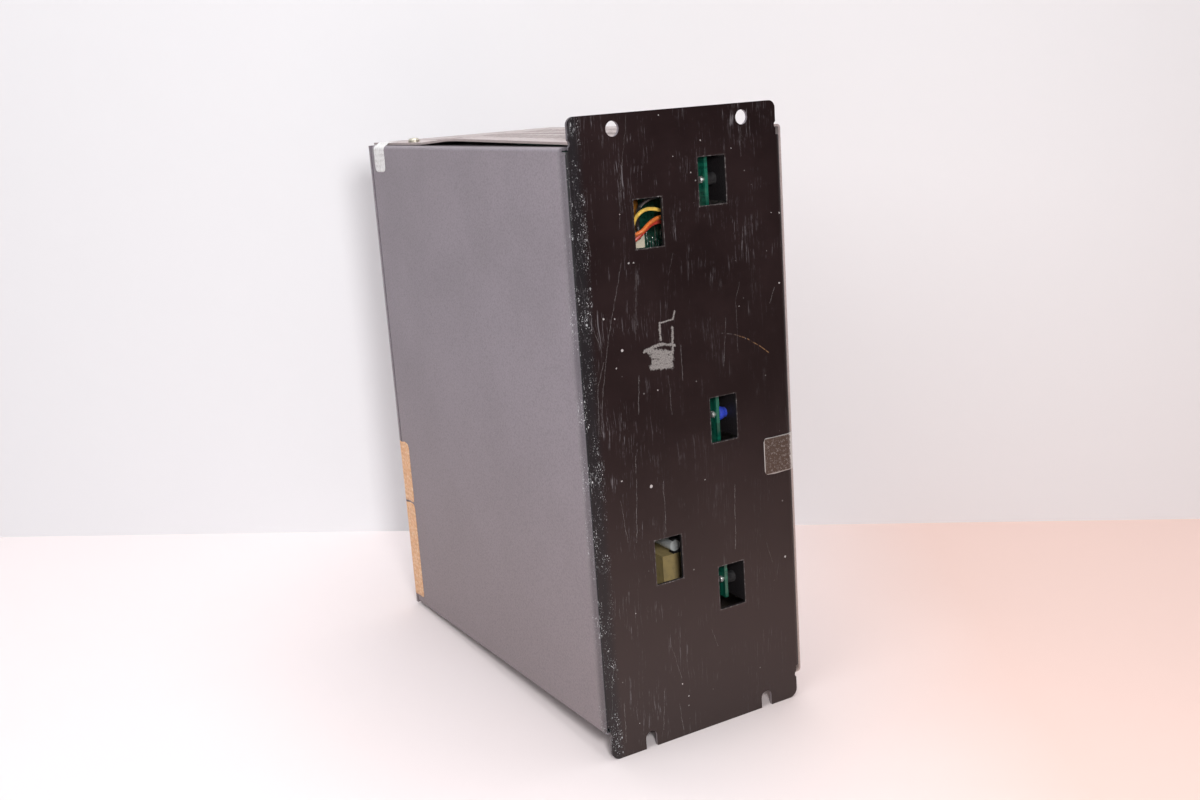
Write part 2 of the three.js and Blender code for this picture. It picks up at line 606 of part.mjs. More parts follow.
// Plain spacers at the top and the bottom, and a domed nylon bush between them. Each is drawn about
// +Y with its wide end up, and lies between the tab and the board.
function spacerGeometry(domed) {
  const length = CONTROL_SPACER - 2 * SEAT;
  const bore = TAB_HOLE_D / 2;
  const widest = domed ? 3.15 : 2.7;
  const dome = [[bore + 0.6, 0], [bore + 0.7, length * 0.2], [widest - 0.25, length * 0.45]];
  const side = domed ? [...dome, [widest, length * 0.73]] : [[widest, 0]];
  const profile = [[bore, 0], ...side, [widest, length], [bore, length]];
  const closed = [...profile, profile[0]].map(([x, y]) => new THREE.Vector2(x, y));
  return new THREE.LatheGeometry(closed, 18).rotateZ(-Math.PI / 2);
}

const DOMED_SPACER = 1;
const SCREW_TIP = 1;                              // length of screw that shows past the board
place('control_board', controlBoardGeometry(), BOARD_GREEN);
CONTROL_WINDOW_Z.forEach((z, index) => {
  const domed = index === DOMED_SPACER;
  const spacer = spacerGeometry(domed);
  const material = domed ? BLUE : BLACK_PLASTIC;
  place(`board_spacer_${index + 1}`, spacer, material, [CONTROL_TAB_X + SEAT, TAB_SCREW_Y, z]);
  const screw = screwGeometry(SHEET + CONTROL_SPACER + BOARD_T + SCREW_TIP);
  const seat = [CONTROL_TAB_X - SHEET - HEAD_SEAT, TAB_SCREW_Y, z];
  place(`board_screw_${index + 1}`, screw, ZINC, seat, FACING.inward);
});

// A dual in-line chip lying on the control board, with its legs bent down at both sides.
function chipGeometry() {
  const body = block([-3.6, 0], [-12, 12], [-3.2, 3.2]);
  const legs = [];
  for (let pin = 0; pin < 8; pin += 1) {
    const y = (pin - 3.5) * 2.54;
    for (const side of [-1, 1]) {
      legs.push(block([-2, 0.6], [y - 0.25, y + 0.25], side > 0 ? [3, 3.9] : [-3.9, -3]));
    }
  }
  return join(body, ...legs);
}
place('control_chip', chipGeometry(), BLACK_PLASTIC, [CONTROL_BACK_X - SEAT - 0.6, -70, 30]);

// A can capacitor standing on a board: a rolled-in groove near the foot.
function canGeometry(diameter, height) {
  const r = diameter / 2;
  const profile = [
    [0, 0], [r * 0.94, 0], [r, 0.8], [r, height * 0.12], [r * 0.93, height * 0.15], [r, height * 0.18],
    [r, height - 0.8], [r * 0.94, height], [0, height],
  ].map(([x, y]) => new THREE.Vector2(x, y));
  return new THREE.LatheGeometry(profile, 20);
}

// Wire header on the control board's face towards the power board.
const UPPER_Z = POWER_WINDOW_Z[0];                // the transformer and its wires are set out from here
const LOWER_Z = POWER_WINDOW_Z[1];
const HEADER_Y = -18;
const HEADER_Z = UPPER_Z + 1.2;
const PIN_PITCH = 3.2;
const HEADER_H = 5.5;
const header = block([0, HEADER_H], [-4.5, 4.5], [-8, 8]);
place('control_header', header, NYLON, [CONTROL_X + SEAT, HEADER_Y, HEADER_Z]);

// ---------------------------------------------------------------- power board on the heat sink

const STANDOFF_Z = [POWER_BOARD_Z[0] + 14, POWER_BOARD_Z[1] - 8];
const FRONT_STANDOFF_Y = POWER_BOARD_Y[0] + 38;
const STANDOFF_PLACES = [
  [-32, STANDOFF_Z[0]], [-66, STANDOFF_Z[1]],
  [FRONT_STANDOFF_Y, STANDOFF_Z[0]], [FRONT_STANDOFF_Y, STANDOFF_Z[1]],
];

function heatSinkGeometry() {
  const base = block([SINK_X, SINK_X + HEAT_SINK_BASE], HEAT_SINK_Y, HEAT_SINK_Z);
  const fins = [];
  const pitch = (HEAT_SINK_Y[1] - HEAT_SINK_Y[0] - 2 * FIN_MARGIN) / (FIN_COUNT - 1);
  for (let fin = 0; fin < FIN_COUNT; fin += 1) {
    const y = HEAT_SINK_Y[0] + FIN_MARGIN + fin * pitch;
    const finX = [SINK_X + HEAT_SINK_BASE / 2, FIN_TIP_X];
    fins.push(block(finX, [y - FIN_T / 2, y + FIN_T / 2], HEAT_SINK_Z));
  }
  const holes = POWER_WINDOW_Z.map((z) =>
    bar('x', TAB_HOLE_D, [TAB_SCREW_Y, z], SINK_X - 1, SINK_X + HEAT_SINK_BASE + 1, 12));
  for (const [y, z] of STANDOFF_PLACES) {
    holes.push(bar('x', TAB_HOLE_D, [y, z], SINK_X - 1, SINK_X + HEAT_SINK_BASE + 1, 12));
  }
  return cut(join(base, ...fins), holes);
}

place('heat_sink', heatSinkGeometry(), ALUMINIUM);
POWER_WINDOW_Z.forEach((z, index) => {
  const screw = screwGeometry(SHEET + SEAM + HEAT_SINK_BASE, SCREW_HEAD_D, LOW_HEAD_H);
  const seat = [POWER_TAB_X - HEAD_SEAT, TAB_SCREW_Y, z];
  place(`heat_sink_screw_${index + 1}`, screw, ZINC, seat, FACING.inward);
});

place('power_board', block([POWER_X - BOARD_T, POWER_X], POWER_BOARD_Y, POWER_BOARD_Z), BOARD_GREEN);
STANDOFF_PLACES.forEach(([y, z], index) => {
  const post = new THREE.CylinderGeometry(3, 3, STANDOFF_LENGTH - 2 * SEAT, 6).rotateZ(Math.PI / 2);
  place(`power_standoff_${index + 1}`, post, ZINC, [SINK_X - STANDOFF_LENGTH / 2, y, z]);
});

const onPower = POWER_X + SEAT;

// Transformer: two core halves round a bobbin, its winding taped amber.
const COIL = { x: [8.8, 21.4], y: [-44, -16.4], z: [UPPER_Z - 4.4, UPPER_Z + 13.2] };
const COIL_X = (COIL.x[0] + COIL.x[1]) / 2;
const COIL_Y = (COIL.y[0] + COIL.y[1]) / 2;
const LIMB = 7;                                   // width of the core's limbs
const TUBE_T = 1.1;                               // bobbin's wall round the limb
const FLANGE_GAP = 0.4;                           // winding to flange
const UPPER_FLANGE_T = 1.6;
const LOWER_FLANGE_T = 7;
const FEET_T = 3;

// A square tool or tube on the transformer's axis.
const onAxis = (width, z) =>
  block([COIL_X - width / 2, COIL_X + width / 2], [COIL_Y - width / 2, COIL_Y + width / 2], z);

function bobbinGeometry() {
  const low = COIL.z[0] - FLANGE_GAP - LOWER_FLANGE_T;
  const high = COIL.z[1] + FLANGE_GAP + UPPER_FLANGE_T;
  const flange = (z) => block([COIL.x[0] - 0.2, COIL.x[1] + 0.4], [COIL.y[0] - 1, COIL.y[1] + 1], z);
  const foot = block([onPower, COIL.x[0]], [COIL.y[0], COIL.y[0] + 11], [low, low + FEET_T]);
  const tube = onAxis(LIMB + 2 * TUBE_T, [low + 1, high - 1]);
  const bore = onAxis(LIMB, [low - 1, high + 1]);
  const flanges = [flange([low, low + LOWER_FLANGE_T]), flange([high - UPPER_FLANGE_T, high])];
  return cut(join(...flanges, foot, tube), bore);
}
function coilGeometry() {
  const outline = roundedRect(COIL.x[0], COIL.x[1], COIL.y[0], COIL.y[1], 3);
  const ring = prism(outline, 'xy', COIL.z[0], COIL.z[1] - COIL.z[0], 4);
  return cut(ring, onAxis(LIMB + 2 * TUBE_T + FLANGE_GAP, [COIL.z[0] - 1, COIL.z[1] + 1]));
}
function coreGeometry() {
  const limb = LIMB / 2 - 0.2;
  const low = COIL.z[0] - FLANGE_GAP - LOWER_FLANGE_T - FLANGE_GAP;
  const high = COIL.z[1] + FLANGE_GAP + UPPER_FLANGE_T + FLANGE_GAP;
  const yoke = limb * 2 - 0.6;
  const y = [COIL.y[0] - 10, COIL_Y + limb];
  const outer = block([COIL_X - limb, COIL_X + limb], y, [low - yoke, high + yoke]);
  const inside = block([COIL_X - 20, COIL_X + 20], [COIL.y[0] - 1.6, COIL_Y - limb], [low, high]);
  return cut(outer, inside);
}
place('transformer_bobbin', bobbinGeometry(), NYLON);
place('transformer_coil', coilGeometry(), AMBER);
place('transformer_core', coreGeometry(), FERRITE);

// Film capacitor in a moulded box, close behind the lower window.
const filmBox = block([0, 11], [-26, 0], [-30, 0]);
place('film_capacitor', filmBox, YELLOW, [onPower, -15, LOWER_Z - 4.4]);

// Fuse in its holder, above the film capacitor.
const FUSE_D = 5.2;
const FUSE_UP = 4.2;                              // fuse's axis above the board
function fuseHolderGeometry() {
  const width = [-3.4, 3.4];
  const base = block([0, 1.2], [-13, 13], width);
  const posts = [-1, 1].map((side) => {
    const y = side * 10.5;
    return block([1, 5.6], [y - 1.6, y + 1.6], width);
  });
  const groove = bar('y', FUSE_D + 0.4, [FUSE_UP, 0], -14, 14, 16);
  const mouth = block([FUSE_UP, 9], [-14, 14], [-2.4, 2.4]);
  return cut(join(base, ...posts), groove, mouth);
}
const FUSE = [onPower, -26.4, LOWER_Z - 0.6];
place('fuse_holder', fuseHolderGeometry(), BLACK_PLASTIC, FUSE);
place('board_fuse', bar('y', FUSE_D, [FUSE_UP, 0], -11.5, 11.5, 16), GLASS, FUSE);

const standing = [0, 0, -Math.PI / 2];            // a can's axis turned from +Y to +X
const bulkCan = canGeometry(22, STANDOFF_LENGTH - 4);
const outputCan = canGeometry(16, STANDOFF_LENGTH - 5);
const OUTPUT_CAN = [onPower, POWER_BOARD_Y[0] + 38, POWER_BOARD_Z[0] + 52];
place('bulk_capacitor', bulkCan, BLACK_PLASTIC, [onPower, -80, 30], standing);
place('output_capacitor', outputCan, BLUE, OUTPUT_CAN, standing);

function bridgeGeometry() {
  return cut(block([0, 18], [-3, 3], [-11, 11]), bar('y', 3.4, [12, 0], -4, 4, 12));
}
place('bridge_rectifier', bridgeGeometry(), BLACK_PLASTIC, [onPower, -112, -30]);

const choke = new THREE.TorusGeometry(9, 4.2, 10, 20).rotateY(Math.PI / 2);
place('output_choke', choke, COPPER, [onPower + 4.4, -110, POWER_BOARD_Z[0] + 30]);

// A flat power transistor against the heat sink, its three legs reaching to the board.
function transistorGeometry() {
  const body = block([-5, 0], [-8, 8], [-10, 10]);
  const legs = [-5.4, 0, 5.4].map((y) =>
    block([-STANDOFF_LENGTH + 2 * SEAT, -2], [y - 0.6, y + 0.6], [-12, -11.2]));
  const roots = [-5.4, 0, 5.4].map((y) => block([-2.8, -2], [y - 0.6, y + 0.6], [-12, -9]));
  return join(body, ...legs, ...roots);
}
[-84, -120].forEach((y, index) => {
  const seat = [SINK_X - SEAT, y, STANDOFF_Z[1] - 24];
  place(`power_transistor_${index + 1}`, transistorGeometry(), BLACK_PLASTIC, seat);
});

// ---------------------------------------------------------------- wires

const channelX = (way) => (way - (WAYS - 1) / 2) * WAY_PITCH;

class Route extends THREE.CatmullRomCurve3 {
  constructor(points) {
    super(points.map(([x, y, z]) => new THREE.Vector3(x, y, z)), false, 'centripetal');
  }
}

function wireGeometry(points, diameter, steps = 22) {
  const section = new THREE.Shape();
  section.absarc(0, 0, diameter / 2, 0, 2 * Math.PI, false);
  return new THREE.ExtrudeGeometry(section, {
    steps, curveSegments: 4, bevelEnabled: false, extrudePath: new Route(points),
  });
}

// Harness from the transformer's foot, round the rear edge of the power board, to the header.
const FOOT_Y = COIL.y[1] + 1 + SEAM;
const FOOT_Z = COIL.z[0] - 3.3;
const headerEnd = (pin) => {
  const x = CONTROL_X + SEAT + HEADER_H + SEAM;
  const z = HEADER_Z + (pin - 1.5) * PIN_PITCH;
  return [[x + 5.6, HEADER_Y + 5.6, z], [x + 2.2, HEADER_Y + 0.6, z], [x, HEADER_Y, z]];
};
// Each wire: name, material, diameter, place along the foot, header pin, and the bends between them
// as X, Y and height from the upper power window's centre.
const HARNESS = [
  ['harness_wire_black', BLACK_PLASTIC, 1.8, 12.6, 3, [
    [12.9, -13.2, -1.8], [13.7, -11.4, 3.2], [13.1, -9.8, 6.4], [9.8, -8.2, 8.8], [4, -7.4, 9.4],
    [-1, -8, 8.4]]],
  ['harness_wire_yellow', YELLOW, 1.6, 15.2, 2, [
    [15.8, -13, -3.4], [15.7, -10.4, 1.2], [14.7, -8.4, 3.5], [12.3, -8, 4.7], [8.6, -8, 4.7],
    [3.8, -8, 3.6], [-0.6, -8.4, 3.2]]],
  ['harness_wire_orange', ORANGE, 1.7, 17.4, 1, [
    [16.4, -9, -5], [14.2, -8, -3.9], [10.8, -7.8, -1.2], [6.5, -7.8, 0.7], [3.4, -7.9, 0.9],
    [-0.4, -8.6, 0.3]]],
  ['harness_wire_red', RED, 1.7, 19.5, 0, [
    [17.6, -11.2, -8.4], [15.2, -10.2, -6.8], [12.2, -9.8, -4.4], [8.4, -9.7, -1.9], [4, -9.5, -1.2],
    [-0.4, -9.4, -2]]],
];
const WIRE_STEPS = 30;
const footEnd = (x) => [[x, FOOT_Y, FOOT_Z], [x, FOOT_Y + 1.6, FOOT_Z + 0.4]];
const atWindow = (points) => points.map(([x, y, rise]) => [x, y, UPPER_Z + rise]);
for (const [name, material, diameter, footX, pin, bends] of HARNESS) {
  const route = [...footEnd(footX), ...atWindow(bends), ...headerEnd(pin)];
  place(name, wireGeometry(route, diameter, WIRE_STEPS), material);
}

// A link from the transformer's lower flange to its upper one.
const LINK_BENDS = [
  [20.4, -12.6, -5.8], [18.8, -11.6, -3.2], [17.6, -10.4, -0.4], [17.4, -10, 2.2], [18.4, -10.6, 5.2],
  [18.6, -11.8, 9.2]];
const linkTop = COIL.z[1] + FLANGE_GAP + UPPER_FLANGE_T / 2;
const upperEnd = [[18.4, FOOT_Y + 1.4, linkTop], [18.4, FOOT_Y, linkTop]];
const linkRoute = [...footEnd(21.6), ...atWindow(LINK_BENDS), ...upperEnd];
place('harness_wire_white', wireGeometry(linkRoute, 1.2, WIRE_STEPS), NYLON);

// Wires from the terminal block's tails to the power board, round its front edge.
const SUPPLY_WIRES = [
  ['output_wire_plus', RED],
  ['output_wire_minus', BLACK_PLASTIC],
  ['earth_wire', GREEN_LENS],
  ['input_wire_neutral', BLUE],
  ['input_wire_line', BROWN],
];
const SUPPLY_WIRE_D = 2.2;
const TAIL_Y = PANEL_BACK_Y + BOSS_TAIL + SEAM;
const LANDING = { y: POWER_BOARD_Y[0] + 9.5, z: POWER_BOARD_Z[0] + 16, pitch: 6 };
SUPPLY_WIRES.forEach(([name, material], way) => {
  const x = channelX(way);
  const z = LANDING.z + (2 - way) * LANDING.pitch;
  const between = (share) => THREE.MathUtils.lerp(BLOCK_Z, z, share);
  const frontEdge = POWER_BOARD_Y[0] - 3.6;
  const points = [[x, TAIL_Y, BLOCK_Z], [x, TAIL_Y + 1, BLOCK_Z], [x, TAIL_Y + 2.8, between(0.15)]];
  if (x < 0) points.push([x / 2, frontEdge - 1.6, between(0.9)], [POWER_X + 0.6, frontEdge, z]);
  if (x > 0) points.push([x * 0.6 + POWER_X + 3, frontEdge, between(0.9)]);
  points.push([POWER_X + 5.8, LANDING.y - 5.6, z], [POWER_X + 3.6, LANDING.y, z]);
  points.push([onPower + 0.25, LANDING.y, z]);
  place(name, wireGeometry(points, SUPPLY_WIRE_D, 24), material);
});

// ---------------------------------------------------------------- terminals and guard

function terminalBlockGeometry() {
  const back = -CASE_D - SEAM;
  const front = BLOCK_FRONT_Y;
  const low = BLOCK_Z - BLOCK_H / 2;
  const high = BLOCK_Z + BLOCK_H / 2;
  const body = block([-BLOCK_W / 2, BLOCK_W / 2], [front, back], [low, high]);
  const bossZ = [BLOCK_Z - BOSS_H / 2, BLOCK_Z + BOSS_H / 2];
  const boss = block([-BOSS_W / 2, BOSS_W / 2], [back - 1, PANEL_BACK_Y + BOSS_TAIL], bossZ);
  const ears = [-1, 1].map((side) => {
    const inner = side * (BLOCK_W / 2);
    const outer = side * (BLOCK_W / 2 + EAR_T);
    return block(
      [Math.min(inner, outer) - (side > 0 ? 1 : 0), Math.max(inner, outer) + (side < 0 ? 1 : 0)],
      [front, back - 2], [high - 6, GUARD_AXIS_Z + KNUCKLE_D / 2]);
  });
  const channels = [];
  for (let way = 0; way < WAYS; way += 1) {
    const halfWay = (WAY_PITCH - BARRIER_T) / 2;
    const channel = [channelX(way) - halfWay, channelX(way) + halfWay];
    channels.push(block(channel, [front - 1, back - BLOCK_FLOOR], [low - 1, high - 2]));
    const screwHole = [back - BLOCK_FLOOR - 1, back - 0.8];
    channels.push(bar('y', SCREW_D + 1.2, [channelX(way), BLOCK_Z], ...screwHole, 12));
  }
  const pinHole = bar('x', PIN_D + 0.1, [GUARD_AXIS_Y, GUARD_AXIS_Z], -BLOCK_W, BLOCK_W, 16);
  const knuckleRoom = block(
    [-BLOCK_W / 2, BLOCK_W / 2], [front - 1, back + 1], [high, GUARD_AXIS_Z + KNUCKLE_D]);
  return cut(cut(join(body, boss, ...ears), knuckleRoom), channels, pinHole);
}

place('terminal_block', terminalBlockGeometry(), BLACK_PLASTIC);
const floorY = -CASE_D - SEAM - BLOCK_FLOOR;
for (let way = 0; way < WAYS; way += 1) {
  const screw = screwGeometry(3.2, 7.6, 2.4, SCREW_D + 1);
  const seat = [channelX(way), floorY - SEAM, BLOCK_Z];
  place(`terminal_screw_${way + 1}`, screw, ZINC, seat, FACING.front);
}

const guard = new THREE.Group();
guard.position.set(0, GUARD_AXIS_Y, GUARD_AXIS_Z);
object.add(guard);

// Guard, drawn about its hinge axis: knuckle, web and the plate that covers the screws.
function guardGeometry() {
  const half = BLOCK_W / 2 - SEAM;
  const plateFront = BLOCK_FRONT_Y - GUARD_GAP - GUARD_T - GUARD_AXIS_Y;
  const bottom = -(GUARD_AXIS_Z - BLOCK_Z) - BLOCK_H / 2 - 1.5;
  const knuckle = bar('x', KNUCKLE_D, [0, 0], -half, half, 16);
  const web = block([-half, half], [plateFront, 0], [-GUARD_T / 2, GUARD_T / 2]);
  const plate = block([-half, half], [plateFront, plateFront + GUARD_T], [bottom, GUARD_T / 2]);
  const hole = bar('x', PIN_D + 2 * PIN_CLEARANCE, [0, 0], -half - 1, half + 1, 16);
  return cut(join(knuckle, web, plate), hole);
}
place('terminal_guard', guardGeometry(), CLEAR, [0, 0, 0], [0, 0, 0], guard);
const pinHalf = BLOCK_W / 2 + EAR_T;
place('guard_pin', bar('x', PIN_D, [0, 0], -pinHalf, pinHalf, 16), ZINC, [0, 0, 0], [0, 0, 0], guard);

// ---------------------------------------------------------------- trimmer and lamp

const TRIMMER_FRONT_Y = CONTROL_BOARD_Y[0] - 5;
function trimmerBodyGeometry() {
  const size = 9.4;
  const far = CONTROL_BACK_X - SEAT;
  const y = [TRIMMER_FRONT_Y, TRIMMER_FRONT_Y + 9];
  const body = block([far - size, far], y, [TRIMMER_Z - size / 2, TRIMMER_Z + size / 2]);
  return cut(body, bar('y', 3.4, [CONTROL_FACE_X, TRIMMER_Z], y[0] - 1, y[0] + 4, 16));
}
function rotorGeometry() {
  const stem = bar('y', 3, [0, 0], -0.5, 3.2, 16);
  const disc = bar('y', ROTOR_D, [0, 0], -4.4, -0.4, 20);
  const slot = block([-ROTOR_D, ROTOR_D], [-5, -3.3], [-0.45, 0.45]);
  return cut(join(stem, disc), slot);
}
place('trimmer_body', trimmerBodyGeometry(), BLUE);
place('trimmer_rotor', rotorGeometry(), NYLON, [CONTROL_FACE_X, TRIMMER_FRONT_Y, TRIMMER_Z]);

function lampGeometry() {
  const r = LAMP_D / 2;
  const profile = [[0, -9], [r + 0.5, -9], [r + 0.5, -7.6], [r, -7.6], [r, 0]].map(
    ([x, y]) => new THREE.Vector2(x, y));
  for (let step = 1; step <= 5; step += 1) {
    const angle = (step / 5) * (Math.PI / 2);
    profile.push(new THREE.Vector2(step === 5 ? 0 : r * Math.cos(angle), r * Math.sin(angle)));
  }
  const legs = [-1.27, 1.27].flatMap((z) => [
    block([-0.3, 0.3], [-14, -8.6], [z - 0.3, z + 0.3]),
    block([-0.3, CONTROL_BACK_X - SEAT - CONTROL_FACE_X], [-14, -13.4], [z - 0.3, z + 0.3]),
  ]);
  return join(new THREE.LatheGeometry(profile, 20), ...legs);
}
const LAMP_STAND = 1;                             // the lamp's cylinder stands this far out of the panel
const lampSeat = [CONTROL_FACE_X, -CASE_D - LAMP_STAND, LAMP_Z];
place('indicator_lamp', lampGeometry(), GREEN_LENS, lampSeat, [Math.PI, 0, 0]);

export default object;
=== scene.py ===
"""Looks of the panel-mounted power supply: paint and wear, labels, boards, windings, wiring, stage."""

import math
import random

import bmesh
import bpy
from bpy.props import FloatProperty, FloatVectorProperty, IntProperty, PointerProperty
from mathutils import Matrix, Vector


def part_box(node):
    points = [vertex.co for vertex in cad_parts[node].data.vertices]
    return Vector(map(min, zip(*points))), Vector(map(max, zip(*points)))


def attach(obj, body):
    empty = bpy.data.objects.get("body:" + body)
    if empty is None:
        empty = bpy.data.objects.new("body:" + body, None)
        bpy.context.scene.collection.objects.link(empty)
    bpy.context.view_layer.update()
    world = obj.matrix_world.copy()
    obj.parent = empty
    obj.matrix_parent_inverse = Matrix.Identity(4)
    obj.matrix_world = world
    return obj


bl_info = {
    "name": "Panel power supply looks",
    "version": (1, 0, 0),
    "blender": (4, 5, 0),
    "location": "3D View > Sidebar > Power supply",
    "description": "Paint, labels, boards, windings, wiring and stage of a power supply module",
    "category": "Object",
}

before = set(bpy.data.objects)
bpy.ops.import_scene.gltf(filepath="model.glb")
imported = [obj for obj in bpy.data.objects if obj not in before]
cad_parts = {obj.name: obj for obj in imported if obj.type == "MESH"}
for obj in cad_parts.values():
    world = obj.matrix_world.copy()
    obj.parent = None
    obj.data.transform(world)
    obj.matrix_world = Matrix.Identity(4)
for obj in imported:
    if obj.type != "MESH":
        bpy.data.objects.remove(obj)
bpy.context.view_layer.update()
MM = 0.001
CASE = "case"
UNDER_LABEL = 0.00003  # gap between a label and the sheet under it, in metres

# Edges of the case that labels and wear follow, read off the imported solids.
CHASSIS_LOW, CHASSIS_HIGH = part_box("chassis")
COVER_LOW, COVER_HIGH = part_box("wrap_cover")
PANEL_LOW, PANEL_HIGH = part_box("front_panel")
WALL_X = CHASSIS_HIGH[0]
CASE_TOP = PANEL_HIGH[2]
CASE_BOTTOM = PANEL_LOW[2]
FRONT_Y = PANEL_LOW[1]
COVER_WALL_X = COVER_LOW[0]


# ---------------------------------------------------------------- shader wiring


class Wiring:
    """Short names for the shader nodes that the finishes share."""

    def __init__(self, tree):
        self.tree = tree

    def node(self, kind, **settings):
        made = self.tree.nodes.new(kind)
        for name, value in settings.items():
            setattr(made, name, value)
        return made

    def feed(self, socket, value):
        if isinstance(value, bpy.types.NodeSocket):
            self.tree.links.new(value, socket)
        elif value is not None:
            opaque = socket.type == "RGBA" and len(value) == 3
            socket.default_value = (*value, 1.0) if opaque else value

    def math(self, operation, a, b=None, c=None, clamp=False):
        made = self.node("ShaderNodeMath", operation=operation, use_clamp=clamp)
        for socket, value in zip(made.inputs, (a, b, c)):
            self.feed(socket, value)
        return made.outputs[0]

    def plus(self, a, b):
        return self.math("ADD", a, b)

    def minus(self, a, b):
        return self.math("SUBTRACT", a, b)

    def times(self, a, b, clamp=False):
        return self.math("MULTIPLY", a, b, None, clamp)

    def scaled(self, value, factor, offset, clamp=False):
        return self.math("MULTIPLY_ADD", value, factor, offset, clamp)

    def most(self, a, b):
        return self.math("MAXIMUM", a, b)

    def vector(self, operation, a, b=None, output=0):
        made = self.node("ShaderNodeVectorMath", operation=operation)
        self.feed(made.inputs[0], a)
        self.feed(made.inputs[3] if operation == "SCALE" else made.inputs[1], b)
        return made.outputs[output]

    def join(self, x, y, z):
        made = self.node("ShaderNodeCombineXYZ")
        for socket, value in zip(made.inputs, (x, y, z)):
            self.feed(socket, value)
        return made.outputs[0]

    def split(self, vector):
        made = self.node("ShaderNodeSeparateXYZ")
        self.feed(made.inputs[0], vector)
        return made.outputs

    def noise(self, vector, scale, detail=3.0, roughness=0.55):
        made = self.node("ShaderNodeTexNoise")
        self.feed(made.inputs["Vector"], vector)
        self.feed(made.inputs["Scale"], scale)
        self.feed(made.inputs["Detail"], detail)
        self.feed(made.inputs["Roughness"], roughness)
        return made.outputs["Fac"]

    def cells(self, vector, scale, feature="F1", output="Distance", randomness=1.0):
        made = self.node("ShaderNodeTexVoronoi", feature=feature)
        self.feed(made.inputs["Vector"], vector)
        self.feed(made.inputs["Scale"], scale)
        self.feed(made.inputs["Randomness"], randomness)
        return made.outputs[output]

    def step(self, value, low, high, out_low=0.0, out_high=1.0):
        made = self.node("ShaderNodeMapRange", interpolation_type="SMOOTHSTEP")
        for socket, number in zip(made.inputs, (value, low, high, out_low, out_high)):
            self.feed(socket, number)
        return made.outputs[0]

    def mix(self, share, a, b):
        made = self.node("ShaderNodeMix", data_type="RGBA")
        self.feed(made.inputs[0], share)
        self.feed(made.inputs[6], a)
        self.feed(made.inputs[7], b)
        return made.outputs[2]

    def bump(self, height, strength, distance):
        made = self.node("ShaderNodeBump")
        self.feed(made.inputs["Height"], height)
        made.inputs["Strength"].default_value = strength
        made.inputs["Distance"].default_value = distance
        return made.outputs[0]

    def millimetres(self):
        """Object coordinates in millimetres."""
        place = self.node("ShaderNodeTexCoord").outputs["Object"]
        return self.vector("SCALE", place, 1000.0)

    def surface(self, **values):
        """Feeds the sockets of the material's Principled shader."""
        shader = self.tree.nodes["Principled BSDF"]
        for label, value in values.items():
            self.feed(shader.inputs[label.replace("_", " ")], value)

    def use(self, group, **inputs):
        made = self.node("ShaderNodeGroup", node_tree=group)
        for name, value in inputs.items():
            self.feed(made.inputs[name.replace("_", " ").title()], value)
        return made.outputs


SOCKETS = {"float": "NodeSocketFloat", "vector": "NodeSocketVector", "colour": "NodeSocketColor"}


def shader_group(name, inputs, outputs, build):
    """A named shader group. build(wiring, inputs) returns the values of its outputs."""
    tree = bpy.data.node_groups.new(name, "ShaderNodeTree")
    for label, (kind, value) in inputs.items():
        socket = tree.interface.new_socket(label, in_out="INPUT", socket_type=SOCKETS[kind])
        if value is not None:
            socket.default_value = value
    for label, kind in outputs.items():
        tree.interface.new_socket(label, in_out="OUTPUT", socket_type=SOCKETS[kind])
    wiring = Wiring(tree)
    given = wiring.node("NodeGroupInput")
    taken = wiring.node("NodeGroupOutput")
    values = build(wiring, {label: given.outputs[label] for label in inputs})
    for label, value in zip(outputs, values):
        wiring.feed(taken.inputs[label], value)
    return tree


def powder_coat(w, given):
    """Leathery texture of baked enamel, with slow changes of tone."""
    place = given["Vector"]
    grain = w.noise(place, given["Scale"], 4.0, 0.62)
    pits = w.cells(place, w.times(given["Scale"], 0.8), "SMOOTH_F1")
    height = w.plus(grain, w.times(pits, 0.6))
    tone = w.noise(place, 0.02, 4.0, 0.6)
    return height, tone


def rub_lines(w, given):
    """Fine scratches broken into dashes. They run along Z, and wander a little."""
    x, y, z = w.split(given["Vector"])
    lean = w.times(w.noise(given["Vector"], 0.03, 2.0), 6.0)
    across = w.plus(w.plus(x, y), w.scaled(z, given["Slant"], lean))
    stretched = w.join(across, 0.0, w.times(z, given["Stretch"]))
    lines = w.cells(stretched, given["Scale"], "DISTANCE_TO_EDGE")
    thin = w.step(lines, given["Width"], 0.0)
    patches = w.step(w.noise(given["Vector"], 0.05, 4.0, 0.7), given["Bare"], 0.62)
    drawn_out = w.vector("MULTIPLY", given["Vector"], (1.0, 1.0, 0.1))
    dashes = w.step(w.noise(drawn_out, 0.9, 4.0, 0.75), 0.48, 0.56)
    mask = w.times(w.times(thin, patches), dashes)
    return (w.times(mask, given["Amount"], clamp=True),)


def specks(w, given):
    """Small separate chips and grit, in a random choice of cells."""
    near = w.cells(given["Vector"], given["Scale"])
    pick = w.split(w.cells(given["Vector"], given["Scale"], output="Color"))[0]
    size = w.times(w.step(pick, given["Threshold"], 1.0), given["Size"])
    return (w.step(w.minus(near, size), 0.02, -0.03),)


def settled_dust(w, given):
    """A thin uneven film, stronger where Amount is higher."""
    cloud = w.noise(given["Vector"], 0.035, 5.0, 0.6)
    fine = w.noise(given["Vector"], 0.9, 3.0, 0.6)
    film = w.times(w.step(cloud, 0.3, 0.75), w.step(fine, 0.25, 0.8))
    return (w.times(film, given["Amount"], clamp=True),)


GROUPS = {}


